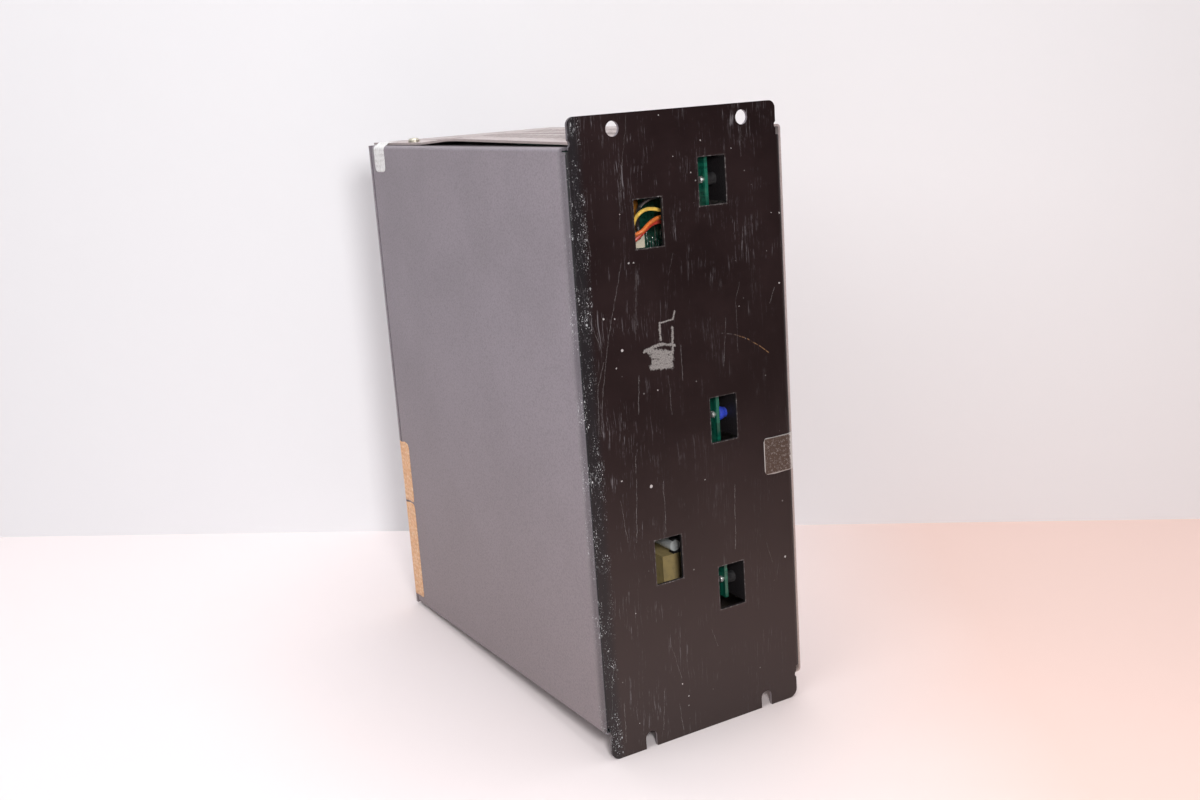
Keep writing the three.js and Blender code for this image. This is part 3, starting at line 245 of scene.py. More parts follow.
def make_groups():
    where = {"Vector": ("vector", None)}
    GROUPS["coat"] = shader_group(
        "powder_coat", {**where, "Scale": ("float", 1.6)}, {"Height": "float", "Tone": "float"}, powder_coat
    )
    GROUPS["lines"] = shader_group(
        "rub_lines",
        {
            **where,
            "Scale": ("float", 0.5),
            "Stretch": ("float", 0.03),
            "Slant": ("float", 0.0),
            "Width": ("float", 0.03),
            "Bare": ("float", 0.5),
            "Amount": ("float", 1.0),
        },
        {"Mask": "float"},
        rub_lines,
    )
    GROUPS["specks"] = shader_group(
        "specks",
        {**where, "Scale": ("float", 0.25), "Size": ("float", 0.2), "Threshold": ("float", 0.9)},
        {"Mask": "float"},
        specks,
    )
    GROUPS["dust"] = shader_group(
        "settled_dust", {**where, "Amount": ("float", 0.3)}, {"Mask": "float"}, settled_dust
    )


def material(name, **constants):
    """A new material and its wiring. Constants are set on the Principled shader's own sockets."""
    made = bpy.data.materials.new(name)
    made.use_nodes = True
    w = Wiring(made.node_tree)
    w.surface(**constants)
    return made, w


def toned(colour, factor):
    return tuple(channel * factor for channel in colour)


def dress(node, finish):
    """Gives a carried-over CAD node its finish."""
    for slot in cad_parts[node].material_slots:
        slot.material = finish


# ---------------------------------------------------------------- finishes


def segment_distance(w, x, z, start, end):
    """Distance in the XZ plane, in millimetres, from the line between two points."""
    along = Vector((end[0] - start[0], 0.0, end[1] - start[1]))
    offset = w.vector("SUBTRACT", w.join(x, 0.0, z), (start[0], 0.0, start[1]))
    share = w.math("DIVIDE", w.vector("DOT_PRODUCT", offset, along, output=1), along.length_squared)
    share = w.math("MINIMUM", w.most(share, 0.0), 1.0)
    foot = w.vector("SCALE", tuple(along), share)
    return w.vector("LENGTH", w.vector("SUBTRACT", offset, foot), output=1)


# Single scratches on the rear plate: points (x, z in mm) along it, half width and strength.
PLATE_SCRATCHES = (
    (((23.4, 135.8), (27.5, 112.0), (29.9, 90.4)), 0.07, 0.5),
    (((30.1, 77.4), (34.4, 62.1), (38.7, 46.8), (42.4, 28.6), (45.2, 7.3)), 0.1, 0.6),
    (((41.4, 38.0), (45.0, 29.0), (46.1, 7.5)), 0.12, 0.7),
    (((50.0, 74.7), (47.6, 58.7), (42.1, 42.0)), 0.1, 0.5),
    (((45.9, 97.3), (44.2, 81.7)), 0.1, 0.5),
    (((23.3, 75.2), (25.6, 44.7)), 0.09, 0.5),
    (((25.1, 29.7), (26.6, 13.4)), 0.12, 0.7),
    (((10.8, 27.2), (9.9, 10.3)), 0.09, 0.5),
    (((3.5, 39.2), (3.7, 23.9)), 0.1, 0.6),
    (((-20.4, 47.4), (-18.0, 26.6)), 0.1, 0.6),
    (((-28.1, 61.7), (-25.9, 53.6), (-25.8, 31.0)), 0.08, 0.5),
    (((-47.0, 57.0), (-44.0, 50.3)), 0.12, 0.8),
    (((4.9, 78.2), (7.9, 69.2)), 0.07, 0.4),
    (((-32.5, 126.5), (-31.9, 114.5)), 0.07, 0.5),
    (((29.2, -3.9), (31.5, -41.8)), 0.12, 0.6),
    (((16.4, -17.9), (16.4, -41.1)), 0.1, 0.6),
    (((-21.0, -27.4), (-19.6, -57.1)), 0.12, 0.7),
    (((37.7, -21.8), (36.0, -40.8)), 0.08, 0.5),
    (((-4.4, -91.4), (-7.4, -100.0)), 0.08, 0.5),
    (((17.4, -92.9), (12.5, -109.7)), 0.08, 0.4),
    (((15.0, -121.3), (13.3, -134.4)), 0.1, 0.6),
    (((22.2, -112.9), (23.9, -131.0)), 0.1, 0.6),
    (((43.1, -112.6), (43.6, -130.8)), 0.12, 0.7),
    (((47.3, -93.4), (50.0, -118.0)), 0.12, 0.7),
    (((-36.7, -58.2), (-39.9, -68.2)), 0.08, 0.4),
)
ARC_SCRATCH = ((-17.5, 41.1), (-24.2, 39.5), (-31.0, 36.6), (-37.8, 32.2), (-42.9, 28.2))
PLATE_CHIPS = (
    (32.4, 41.5, 0.75), (35.8, 34.5, 0.45), (26.6, 76.7, 0.5), (24.3, 76.6, 0.4), (16.4, 22.0, 0.35),
    (-51.2, 88.8, 0.6), (-49.7, 58.5, 0.5), (-46.8, 89.3, 0.3), (-27.1, 118.3, 0.35), (-8.3, 106.7, 0.3),
    (-6.1, 110.2, 0.3), (-11.7, 122.8, 0.35), (8.2, 134.4, 0.35), (29.4, 96.8, 0.25), (40.3, 55.7, 0.5),
    (35.0, 54.9, 0.35), (48.1, 34.3, 0.35), (2.3, 117.5, 0.3), (-27.5, 51.3, 0.3), (22.5, -18.9, 0.95),
    (-47.0, -67.3, 0.6), (52.1, -72.6, 0.45), (12.7, -112.4, 0.4), (9.7, -119.1, 0.4), (36.0, -124.0, 0.35),
    (36.8, -13.5, 0.45), (-5.2, -21.8, 0.3), (34.4, -73.3, 0.3), (49.2, -86.3, 0.45),
)
# Strokes of gummed residue: start, end (x, z in mm) and half width.
RESIDUE_STROKES = (
    ((5.8, 54.0), (6.8, 50.7), 0.4),
    ((6.8, 50.7), (13.6, 50.0), 0.35),
    ((13.6, 50.0), (13.5, 42.8), 0.55),
    ((7.3, 47.4), (7.8, 36.4), 0.6),
    ((21.7, 39.4), (13.6, 41.2), 0.8),
    ((13.6, 41.2), (6.6, 39.6), 0.6),
    ((19.7, 39.0), (8.6, 36.6), 1.3),
    ((17.6, 36.8), (8.8, 34.4), 1.5),
    ((17.0, 34.0), (9.4, 32.6), 1.7),
    ((18.6, 32.2), (9.0, 31.2), 1.3),
)
PLATE_WINDOWS = ((-16.7, 106.0), (-16.7, 3.6), (-16.7, -73.3), (15.7, 91.8), (15.7, -53.4))
HALF_WINDOW = (6.95, 10.1)
NEAR_PLATE = 0.4


def nearest(w, distances):
    least = distances[0]
    for distance in distances[1:]:
        least = w.math("MINIMUM", least, distance)
    return least


def window_rim(w, x, z):
    """Distance in the XZ plane, in millimetres, from the nearest edge of a window."""
    edges = []
    for centre_x, centre_z in PLATE_WINDOWS:
        beside = w.minus(w.math("ABSOLUTE", w.minus(x, centre_x)), HALF_WINDOW[0])
        above = w.minus(w.math("ABSOLUTE", w.minus(z, centre_z)), HALF_WINDOW[1])
        edges.append(w.math("ABSOLUTE", w.most(beside, above)))
    return nearest(w, edges)


def plate_marks(w, place):
    """Masks of the rear plate's own marks: bare scratches and chips, tape residue, and the tan arc."""
    x, y, z = w.split(place)
    on_face = w.step(y, -NEAR_PLATE, -NEAR_PLATE / 2)
    wobble = w.scaled(w.noise(place, 0.12, 5.0, 0.7), 2.4, -1.2)
    shifted = w.plus(x, wobble)
    scratched = 0.0
    for points, half, strength in PLATE_SCRATCHES:
        parts = [segment_distance(w, shifted, z, start, end) for start, end in zip(points, points[1:])]
        mark = w.step(nearest(w, parts), half * 1.15, half * 0.3, 0.0, strength * 0.75)
        scratched = w.most(mark, scratched)
    broken = w.step(w.noise(w.vector("MULTIPLY", place, (1.0, 1.0, 0.35)), 0.8, 6.0, 0.85), 0.36, 0.6)
    scratched = w.times(scratched, broken)

    rough_z = w.plus(z, w.scaled(w.noise(place, 1.7, 2.0), 0.9, -0.45))
    rough_x = w.plus(x, w.scaled(w.noise(place, 1.9, 2.0), 0.9, -0.45))
    offsets = [
        (w.vector("SUBTRACT", w.join(rough_x, 0.0, rough_z), (chip_x, 0.0, chip_z)), radius)
        for chip_x, chip_z, radius in PLATE_CHIPS
    ]
    chips = nearest(
        w, [w.math("DIVIDE", w.vector("LENGTH", offset, output=1), radius) for offset, radius in offsets]
    )
    chipped = w.step(chips, 0.85, 0.7)

    worn = w.step(w.noise(place, 0.6, 5.0, 0.75), 0.48, 0.66)
    rim = w.times(w.step(window_rim(w, x, z), 0.5, 0.1), w.scaled(worn, 0.4, 0.04))

    pairs = zip(ARC_SCRATCH, ARC_SCRATCH[1:])
    arc = nearest(w, [segment_distance(w, x, z, start, end) for start, end in pairs])
    arced = w.times(w.step(arc, 0.26, 0.08), w.step(w.noise(place, 0.4, 3.0), 0.42, 0.56))

    ragged = w.scaled(w.noise(place, 0.75, 5.0, 0.8), 4.0, -1.9)
    strokes = nearest(
        w, [w.math("DIVIDE", segment_distance(w, x, z, *ends), half) for *ends, half in RESIDUE_STROKES]
    )
    lumps = w.step(w.noise(place, 2.2, 4.0, 0.75), 0.38, 0.5)
    residue = w.times(w.step(w.plus(strokes, ragged), 1.15, 0.75), lumps)
    bare = w.most(w.most(w.times(scratched, 0.8), chipped), rim)
    return [w.times(mask, on_face) for mask in (bare, w.times(residue, 0.8), arced)]


def edge_rub(w, place):
    """Paint worn to fine speckles and short upright streaks along the side wall's rear bend, and the strip
    of the bend that takes a painted shade.
    """
    x, y, _ = w.split(place)
    beside = w.math("ABSOLUTE", w.minus(x, WALL_X / MM - 2.6))
    from_bend = w.plus(beside, w.math("ABSOLUTE", w.plus(y, 0.4)))
    bend_shade_band = w.step(from_bend, 7.5, 2.5)
    streaks = w.noise(w.vector("MULTIPLY", place, (1.0, 1.0, 0.12)), 3.0, 3.0, 0.8)
    clumps = w.noise(w.vector("MULTIPLY", place, (1.0, 1.0, 0.5)), 0.12, 4.0, 0.75)
    upright = w.step(w.scaled(clumps, 0.4, streaks), 0.83, 0.87)
    squat = w.vector("MULTIPLY", place, (1.0, 1.0, 0.55))
    small = w.use(GROUPS["specks"], vector=squat, scale=2.2, size=0.34, threshold=0.3)["Mask"]
    large = w.use(GROUPS["specks"], vector=squat, scale=1.1, size=0.3, threshold=0.6)["Mask"]
    specked = w.times(w.most(small, large), w.step(clumps, 0.46, 0.62))
    dotted = w.most(w.times(upright, 0.5), specked)
    return bend_shade_band, w.times(dotted, w.step(bend_shade_band, 0.0, 0.35))


def case_paint(name, finish, tone, plate=True):
    """Black-brown enamel with texture, dust, scratches and bare spots; painted light on the walls, painted
    shade on the rear bend.
    """
    made, w = material(
        name,
        Specular_IOR_Level=0.17,
        Sheen_Weight=finish.sheen,
        Sheen_Roughness=0.45,
        Sheen_Tint=(1.0, 0.9, 0.9),
    )
    place = w.millimetres()
    x, y, z = w.split(place)
    coat = w.use(GROUPS["coat"], vector=place, scale=finish.grain_scale)
    dust = w.use(GROUPS["dust"], vector=place, amount=finish.dust)["Mask"]
    # The given tone is painted light: much lighter than the enamel, it stands for the light and reflection
    # on the side wall, cover and front panel.
    tone = tuple(tone)
    lighter = toned(tone, 1.16)
    walls = w.mix(w.step(coat["Tone"], 0.3, 0.7), tone, lighter)
    low = w.step(z, 60.0, -130.0)
    walls = w.mix(w.times(low, 0.5), walls, (tone[0] * 1.1, tone[1] * 0.96, tone[2] * 0.8))
    walls = w.mix(w.times(dust, 0.3), walls, (0.27, 0.235, 0.24))
    grain = w.step(coat["Height"], 0.55, 1.05)
    walls = w.mix(w.times(grain, 0.35), walls, toned(tone, 0.55))
    grit = w.use(GROUPS["specks"], vector=place, scale=0.3, size=0.11, threshold=0.88)["Mask"]
    thin = {"vector": place, "width": 0.03, "amount": finish.scratches}
    long_lines = w.use(GROUPS["lines"], scale=0.42, stretch=0.008, bare=0.46, **thin)["Mask"]
    texture = coat["Height"]
    if plate:
        rear = w.step(y, -NEAR_PLATE, -NEAR_PLATE / 2)
        # How far a point lies past the inner faces of the side wall, the bottom and the top.
        past_wall = w.minus(x, WALL_X / MM - 1.2)
        past_bottom = w.minus(CASE_BOTTOM / MM + 1.2, z)
        past_top = w.minus(z, CASE_TOP / MM - 1.2)
        beyond = w.most(w.most(past_wall, past_bottom), past_top)
        walls = w.mix(w.step(beyond, -0.2, 0.2), (0.004, 0.003, 0.004), walls)
        dark = tuple(finish.paint_colour)
        brown = tuple(channel * 1.5 + 0.002 for channel in dark)
        face = w.mix(w.step(coat["Tone"], 0.35, 0.7), dark, brown)
        face = w.mix(w.times(w.step(z, 20.0, -110.0), 0.8), face, (0.048, 0.033, 0.031))
        steep = w.use(GROUPS["lines"], scale=0.5, stretch=0.012, slant=0.08, bare=0.5, **thin)["Mask"]
        upper = w.step(z, 10.0, 120.0)
        aside = w.step(x, -10.0, 45.0)
        busy = w.scaled(w.most(upper, aside), 0.75, 0.25)
        fine = w.times(w.most(long_lines, steep), busy)
        face = w.mix(w.times(fine, 0.34), face, (0.42, 0.4, 0.43))
        face = w.mix(w.times(grit, 0.4), face, (0.4, 0.38, 0.37))
        scratched, residue, arced = plate_marks(w, place)
        bend_shade_band, rubbed = edge_rub(w, place)
        face = w.mix(w.times(scratched, 0.8), face, (0.58, 0.56, 0.56))
        face = w.mix(residue, face, (0.3, 0.285, 0.275))
        tan = w.mix(w.step(x, -22.0, -30.0), (0.12, 0.11, 0.11), (0.3, 0.17, 0.08))
        face = w.mix(w.times(arced, 0.65), face, tan)
        colour = w.mix(rear, walls, face)
        # Painted shade: the strip along the rear bend is darkened toward bluish black where the bend turns
        # from the lit wall to the plate.
        colour = w.mix(w.times(bend_shade_band, 0.5), colour, (0.01, 0.013, 0.016))
        colour = w.mix(w.times(rubbed, 0.85), colour, (0.62, 0.63, 0.65))
        bare = w.most(w.times(fine, 0.15), w.times(scratched, 0.35))
        w.surface(Metallic=w.times(bare, rear))
        texture = w.times(texture, w.scaled(rear, -0.8, 1.0))
        gloss = w.scaled(rear, -0.1, finish.roughness + 0.08)
    else:
        colour = w.mix(w.times(long_lines, 0.25), walls, (0.5, 0.47, 0.46))
        bands = w.step(w.noise(w.join(x, w.times(y, 0.02), 0.0), 0.22, 2.0), 0.4, 0.62)
        bands = w.times(bands, w.step(z, CASE_TOP / MM - 4.0, CASE_TOP / MM - 1.0))
        streak = toned(tone, 0.5)
        colour = w.mix(w.times(bands, 0.45), colour, streak)
        gloss = w.scaled(bands, 0.1, finish.roughness - 0.06)
    w.surface(Base_Color=colour)
    w.surface(Roughness=w.scaled(coat["Tone"], 0.16, w.minus(gloss, 0.08)))
    w.surface(Normal=w.bump(texture, 0.6, 0.00014))
    return made


def plated_metal(name, colour, roughness, smudge=0.25):
    """Plated steel: slow smudges in tone and gloss, and fine turning marks."""
    made, w = material(name, Metallic=1.0)
    place = w.millimetres()
    cloud = w.noise(place, 0.8, 4.0)
    marks = w.noise(w.vector("MULTIPLY", place, (9.0, 9.0, 1.0)), 1.2, 2.0)
    dim = toned(colour, 0.45)
    smudged = w.times(w.step(cloud, 0.4, 0.7), smudge)
    w.surface(Base_Color=w.mix(smudged, colour, dim))
    w.surface(Roughness=w.scaled(marks, 0.25, roughness - 0.1))
    w.surface(Normal=w.bump(marks, 0.2, 0.00005))
    return made


def moulded(name, colour, roughness=0.45, clear=0.0, alpha=1.0):
    """Moulded or sleeved plastic: slight mottling, faint orange peel and handling haze."""
    made, w = material(name, Coat_Weight=clear, Alpha=alpha, IOR=1.49)
    place = w.millimetres()
    cloud = w.noise(place, 0.5, 3.0)
    peel = w.noise(place, 4.0, 2.0)
    worn = tuple(min(1.0, channel * 0.72 + 0.02) for channel in colour)
    w.surface(Base_Color=w.mix(w.step(cloud, 0.35, 0.75), colour, worn))
    w.surface(Roughness=w.scaled(cloud, 0.2, roughness - 0.1))
    w.surface(Normal=w.bump(peel, 0.25, 0.00006))
    return made


def clear_shell(name, colour, alpha, roughness=0.12):
    """Clear plastic or glass, seen through, with a faint scuffed haze."""
    made, w = material(name, IOR=1.5)
    place = w.millimetres()
    haze = w.step(w.noise(place, 0.7, 4.0), 0.45, 0.75)
    w.surface(Base_Color=colour)
    w.surface(Alpha=w.scaled(haze, 0.12, alpha))
    w.surface(Roughness=w.scaled(haze, 0.2, roughness))
    return made


def solder_mask(name, colour):
    """Glossy green board: darker tracks under the mask, along Y and Z, and paler hazy patches."""
    made, w = material(name, Coat_Weight=0.4, Coat_Roughness=0.12)
    place = w.millimetres()
    _, y, z = w.split(place)
    bend = w.noise(w.join(0.0, w.math("SNAP", y, 14.0), w.math("SNAP", z, 9.0)), 0.6, 0.0)
    lane_z = w.math("PINGPONG", w.scaled(bend, 9.0, z), 1.3)
    lane_y = w.math("PINGPONG", w.scaled(bend, 7.0, y), 1.6)
    swap = w.step(w.noise(place, 0.05, 1.0), 0.48, 0.52)
    lane_y = w.times(lane_y, w.minus(1.0, swap))
    lane = w.plus(w.times(lane_z, swap), lane_y)
    track = w.step(lane, 0.62, 0.75)
    base = w.mix(track, colour, toned(colour, 0.62))
    hazy = w.step(w.noise(place, 0.15, 3.0), 0.5, 0.8)
    w.surface(Base_Color=w.mix(hazy, base, (0.05, 0.2, 0.13)))
    w.surface(Roughness=w.scaled(w.noise(place, 1.0, 3.0), 0.15, 0.22))
    w.surface(Normal=w.bump(track, 0.35, 0.00005))
    return made


# ---------------------------------------------------------------- settings


def colour_setting(name, description, default):
    more = {"subtype": "COLOR", "min": 0.0, "max": 1.0}
    return FloatVectorProperty(name=name, description=description, default=default, **more)


def length_setting(name, description, default):
    return FloatProperty(name=name, description=description, default=default, unit="LENGTH", precision=5)


def share_setting(name, description, default):
    more = {"subtype": "FACTOR", "min": 0.0, "max": 1.0}
    return FloatProperty(name=name, description=description, default=default, **more)


def power_setting(name, description, default):
    return FloatProperty(name=name, description=description, default=default, min=0.0, unit="POWER")


class PaintSettings(bpy.types.PropertyGroup):
    paint_colour: colour_setting("Paint", "Colour of the rear plate's enamel", (0.0085, 0.0035, 0.0038))
    # Wall and cover colours are painted light: much lighter than the near-black enamel, they stand for the
    # light and reflection these faces catch, with some dust.
    wall_colour: colour_setting("Lit_wall paint", "Colour of the dusty_and_lit side wall", (0.214, 0.19, 0.215))
    cover_reflection_and_dust_colour: colour_setting("Lit_cover paint", "Colour of the dusty_and_lit cover", (0.37, 0.31, 0.305))
    roughness: share_setting("Roughness", "Roughness of the enamel on the rear plate", 0.42)
    sheen: share_setting("Dust sheen", "Pale bloom of the wall at a low angle", 0.06)
    dust: share_setting("Dust", "How much dust lies on the walls", 0.35)
    scratches: share_setting("Scratches", "How strongly the fine scratches show", 0.9)
    grain_scale: FloatProperty(
        name="Grain", description="Texture grains in a millimetre", default=1.5, min=0.1
    )


class LabelSettings(bpy.types.PropertyGroup):
    thickness: length_setting("Thickness", "Thickness of each label", 0.00012)
    seal_colour: colour_setting("Seal colour", "Colour of the tamper seals", (0.66, 0.34, 0.16))
    seal_width: length_setting("Seal width", "How far a seal reaches along the wall", 0.0118)
    foil_colour: colour_setting("Foil colour", "Colour of the foil label", (0.09, 0.062, 0.05))


class WindingSettings(bpy.types.PropertyGroup):
    choke_turns: IntProperty(
        name="Choke turns", description="Turns round the output choke", default=34, min=6
    )
    wire_diameter: length_setting("Wire diameter", "Winding wire of the choke", 0.0011)


class SolderSettings(bpy.types.PropertyGroup):
    pitch: length_setting("Pitch", "Distance between solder joints", 0.0051)
    joint_diameter: length_setting("Joint diameter", "Foot of a solder joint", 0.0019)
    joint_height: length_setting("Joint height", "Height of a solder joint", 0.0011)
    filled: share_setting("Filled", "Share of the grid that has a joint", 0.4)


class StageSettings(bpy.types.PropertyGroup):
    lens: FloatProperty(
        name="Lens", description="Focal length on a 36 mm sensor", default=40.585, unit="CAMERA"
    )
    lean: FloatProperty(
        name="Lean",
        description="How far the floor tilts under the unit, which rests on its lower flange",
        default=0.05341,
        subtype="ANGLE",
    )
    floor_colour: colour_setting("Floor", "Colour of the paper floor", (0.75, 0.685, 0.69))
    wall_colour: colour_setting("Backdrop", "Colour of the backdrop", (0.8, 0.795, 0.815))
    key_power: power_setting("Key light", "Power of the main soft light", 5.9)
    fill_power: power_setting("Fill light", "Power of the overhead soft light", 9.3)
    front_power: power_setting("Front light", "Power of the low soft light on the terminal side", 1.0)
    window_power: power_setting("Window light", "Power of the light that reaches into the windows", 3.6)


# ---------------------------------------------------------------- mesh helpers


def mesh_piece(name, build):
    """A finished piece from a function that fills a bmesh, placed at the origin."""
    mesh = bpy.data.meshes.new(name)
    bm = bmesh.new()
    build(bm)
    bmesh.ops.remove_doubles(bm, verts=bm.verts, dist=1e-6)
    bmesh.ops.recalc_face_normals(bm, faces=bm.faces)
    bm.to_mesh(mesh)
    bm.free()
    made = bpy.data.objects.new(name, mesh)
    bpy.context.scene.collection.objects.link(made)
    return made


def finish_piece(piece, finish, body, smooth=True):
    piece.data.materials.clear()
    piece.data.materials.append(finish)
    if smooth:
        piece.data.shade_smooth()
    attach(piece, body)
    return piece


def along_path(path, distance):
    """The point of a polyline at a distance from its start, and the direction there."""
    for start, end in zip(path, path[1:]):
        step = (end - start).length
        if distance <= step or end is path[-1]:
            return start + (end - start) * (distance / step), (end - start) / step
        distance -= step
    raise RuntimeError("the label's path is empty")


def corner_inset(distance, corner):
    """How far a rounded corner draws the side in, at a distance from the label's end."""
    gap = max(0.0, corner - distance)
    return corner - math.sqrt(max(0.0, corner**2 - gap**2))


def close_sheet(bm, layers):
    """Faces of a thin sheet: two matching grids of points, and the rims between them."""
    inner, outer = layers
    lines, across = len(inner) - 1, len(inner[0]) - 1
    for i in range(lines):
        for j in range(across):
            for grid in layers:
                bm.faces.new((grid[i][j], grid[i + 1][j], grid[i + 1][j + 1], grid[i][j + 1]))
    for i in range(lines):
        for j in (0, across):
            bm.faces.new((inner[i][j], inner[i + 1][j], outer[i + 1][j], outer[i][j]))
    for j in range(across):
        for i in (0, lines):
            bm.faces.new((inner[i][j], inner[i][j + 1], outer[i][j + 1], outer[i][j]))


def label_piece(name, path, low_z, high_z, corner, thickness, ragged=0.0, seed=1):
    """A sheet that follows a path in the XY plane between two heights, with rounded corners.

    The path lists the outer surface that the label sticks to, and the label lies on its left.
    """
    length = sum((b - a).length for a, b in zip(path, path[1:]))
    columns, rows = 40, 28
    rng = random.Random(seed)
    waves = [(rng.uniform(0.3, 1.2), rng.uniform(0.0, 6.0)) for _ in range(3)]

    def ripple(at):
        return ragged * sum(math.sin(at / MM * rate + phase) for rate, phase in waves) / len(waves)

    def build(bm):
        rings = []
        for layer in (0.0, thickness):
            grid = []
            for column in range(columns + 1):
                distance = length * column / columns
                point, direction = along_path(path, distance)
                outward = Vector((direction.y, -direction.x))
                line = []
                inset = corner_inset(distance, corner) + corner_inset(length - distance, corner)
                bottom = low_z + inset + ripple(distance)
                top = high_z - inset + ripple(distance + 0.05)
                for row in range(rows + 1):
                    spot = point + outward * (UNDER_LABEL + layer)
                    line.append(bm.verts.new((spot.x, spot.y, bottom + (top - bottom) * row / rows)))
                grid.append(line)
            rings.append(grid)
        close_sheet(bm, rings)

    return mesh_piece(name, build)


def paper_print(name, colour, edge, inks, roughness=0.55):
    """Printed paper: soft blocks of ink that spell nothing, and rubbed patches in the edge colour."""
    made, w = material(name)
    place = w.millimetres()
    x, y, z = w.split(place)
    row = w.math("PINGPONG", z, 1.4)
    along = w.times(w.plus(x, y), 0.9)
    words = w.noise(w.join(w.math("SNAP", z, 2.8), along, 0.0), 1.0, 2.0)
    ink = w.times(w.step(row, 0.9, 0.5), w.step(words, 0.48, 0.6))
    rubbed = w.step(w.noise(place, 0.5, 6.0, 0.8), 0.45, 0.62)
    base = w.mix(rubbed, colour, edge)
    w.surface(Base_Color=w.mix(w.times(ink, 0.5), base, inks))
    w.surface(Roughness=w.scaled(rubbed, 0.2, roughness - 0.1))
    w.surface(Normal=w.bump(w.noise(place, 1.4, 4.0), 0.3, 0.0001))
    return made


def foil_print(name, colour):
    """Dark foil with rubbed bright patches and a frayed rim where it goes round the edge."""
    made, w = material(name)
    place = w.millimetres()
    x, _, z = w.split(place)
    blotch = w.noise(place, 0.9, 6.0, 0.8)
    beside = w.minus(w.math("ABSOLUTE", w.plus(x, 45.5)), 7.5)
    above = w.minus(w.math("ABSOLUTE", w.plus(z, 18.3)), 8.0)
    border = w.times(w.step(w.most(beside, above), -0.1, 0.25), 0.6)
    rubbed = w.step(blotch, 0.54, 0.58)
    rim = w.step(w.plus(x, w.times(blotch, 5.0)), -49.2, -50.4)
    bright = w.most(w.most(w.times(rubbed, 0.3), border), rim)
    w.surface(Base_Color=w.mix(bright, colour, (0.55, 0.53, 0.52)))
    w.surface(Metallic=w.scaled(bright, -0.4, 0.55))
    w.surface(Roughness=w.scaled(blotch, 0.4, 0.2))
    w.surface(Normal=w.bump(blotch, 0.4, 0.0001))
    return made


# ---------------------------------------------------------------- geometry node helpers


class Growth:
    """A Geometry Nodes tree with named inputs, which ends in real geometry with one finish."""

    def __init__(self, name, inputs):
        self.tree = bpy.data.node_groups.new(name, "GeometryNodeTree")
        self.tree.interface.new_socket("Geometry", in_out="INPUT", socket_type="NodeSocketGeometry")
        for label, kind in inputs.items():
            self.tree.interface.new_socket(label, in_out="INPUT", socket_type="NodeSocket" + kind)
        self.tree.interface.new_socket("Geometry", in_out="OUTPUT", socket_type="NodeSocketGeometry")
        self.given = self.tree.nodes.new("NodeGroupInput").outputs

    def node(self, kind, feeds, **settings):
        """Adds a node with its settings. Feeds name its inputs, and hold sockets or plain values."""
        made = self.tree.nodes.new(kind)
        for name, value in settings.items():
            setattr(made, name, value)
        for label, value in feeds.items():
            if isinstance(value, bpy.types.NodeSocket):
                self.tree.links.new(value, made.inputs[label])
            else:
                made.inputs[label].default_value = value
        return made.outputs

    def end(self, instances):
        """Realizes the instances and gives them the finish."""
        real = self.node("GeometryNodeRealizeInstances", {"Geometry": instances})
        feeds = {"Geometry": real["Geometry"], "Material": self.given["Finish"]}
        painted = self.node("GeometryNodeSetMaterial", feeds)
        self.node("NodeGroupOutput", {"Geometry": painted["Geometry"]})
        return self.tree


def grown_piece(name, source, tree, values):
    """Runs a tree on a source object and keeps the result as a plain mesh."""
    modifier = source.modifiers.new("grow", "NODES")
    modifier.node_group = tree
    for item in tree.interface.items_tree:
        if item.item_type == "SOCKET" and item.in_out == "INPUT" and item.name in values:
            modifier[item.identifier] = values[item.name]
    evaluated = source.evaluated_get(bpy.context.evaluated_depsgraph_get())
    mesh = bpy.data.meshes.new_from_object(evaluated)
    mesh.name = name
    made = bpy.data.objects.new(name, mesh)
    bpy.context.scene.collection.objects.link(made)
    bpy.data.objects.remove(source)
    if not mesh.polygons:
        raise RuntimeError(name + " came out empty")
    return made


# ---------------------------------------------------------------- operators


class PSU_OT_paint_case(bpy.types.Operator):
    """Enamel, dust, wear and painted light on the chassis, the wrap cover and the front panel"""

    bl_idname = "psu.paint_case"
    bl_label = "Paint case"

    def execute(self, context):
        finish = context.scene.psu_paint
        # The side wall, cover and front panel take lighter tones that are painted light and reflection.
        dress("chassis", case_paint("case_enamel_and_lit_wall", finish, finish.wall_colour))
        dress("wrap_cover", case_paint("cover_enamel_and_painted_reflection", finish, finish.cover_reflection_and_dust_colour, plate=False))
        dress("front_panel", case_paint("panel_enamel_and_painted_light", finish, finish.wall_colour, plate=False))
        return {"FINISHED"}


class PSU_OT_finish_fasteners(bpy.types.Operator):
    """Plating on screws, standoffs and the guard's pin"""

    bl_idname = "psu.finish_fasteners"
    bl_label = "Finish fasteners"

    def execute(self, context):
        zinc = plated_metal("yellowed_zinc", (0.56, 0.53, 0.44), 0.36)
        bright = plated_metal("bright_plating", (0.95, 0.94, 0.92), 0.45, 0.05)
        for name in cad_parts:
            if "screw" in name or "standoff" in name or name == "guard_pin":
                dress(name, bright if name.startswith("board_screw") else zinc)
        return {"FINISHED"}


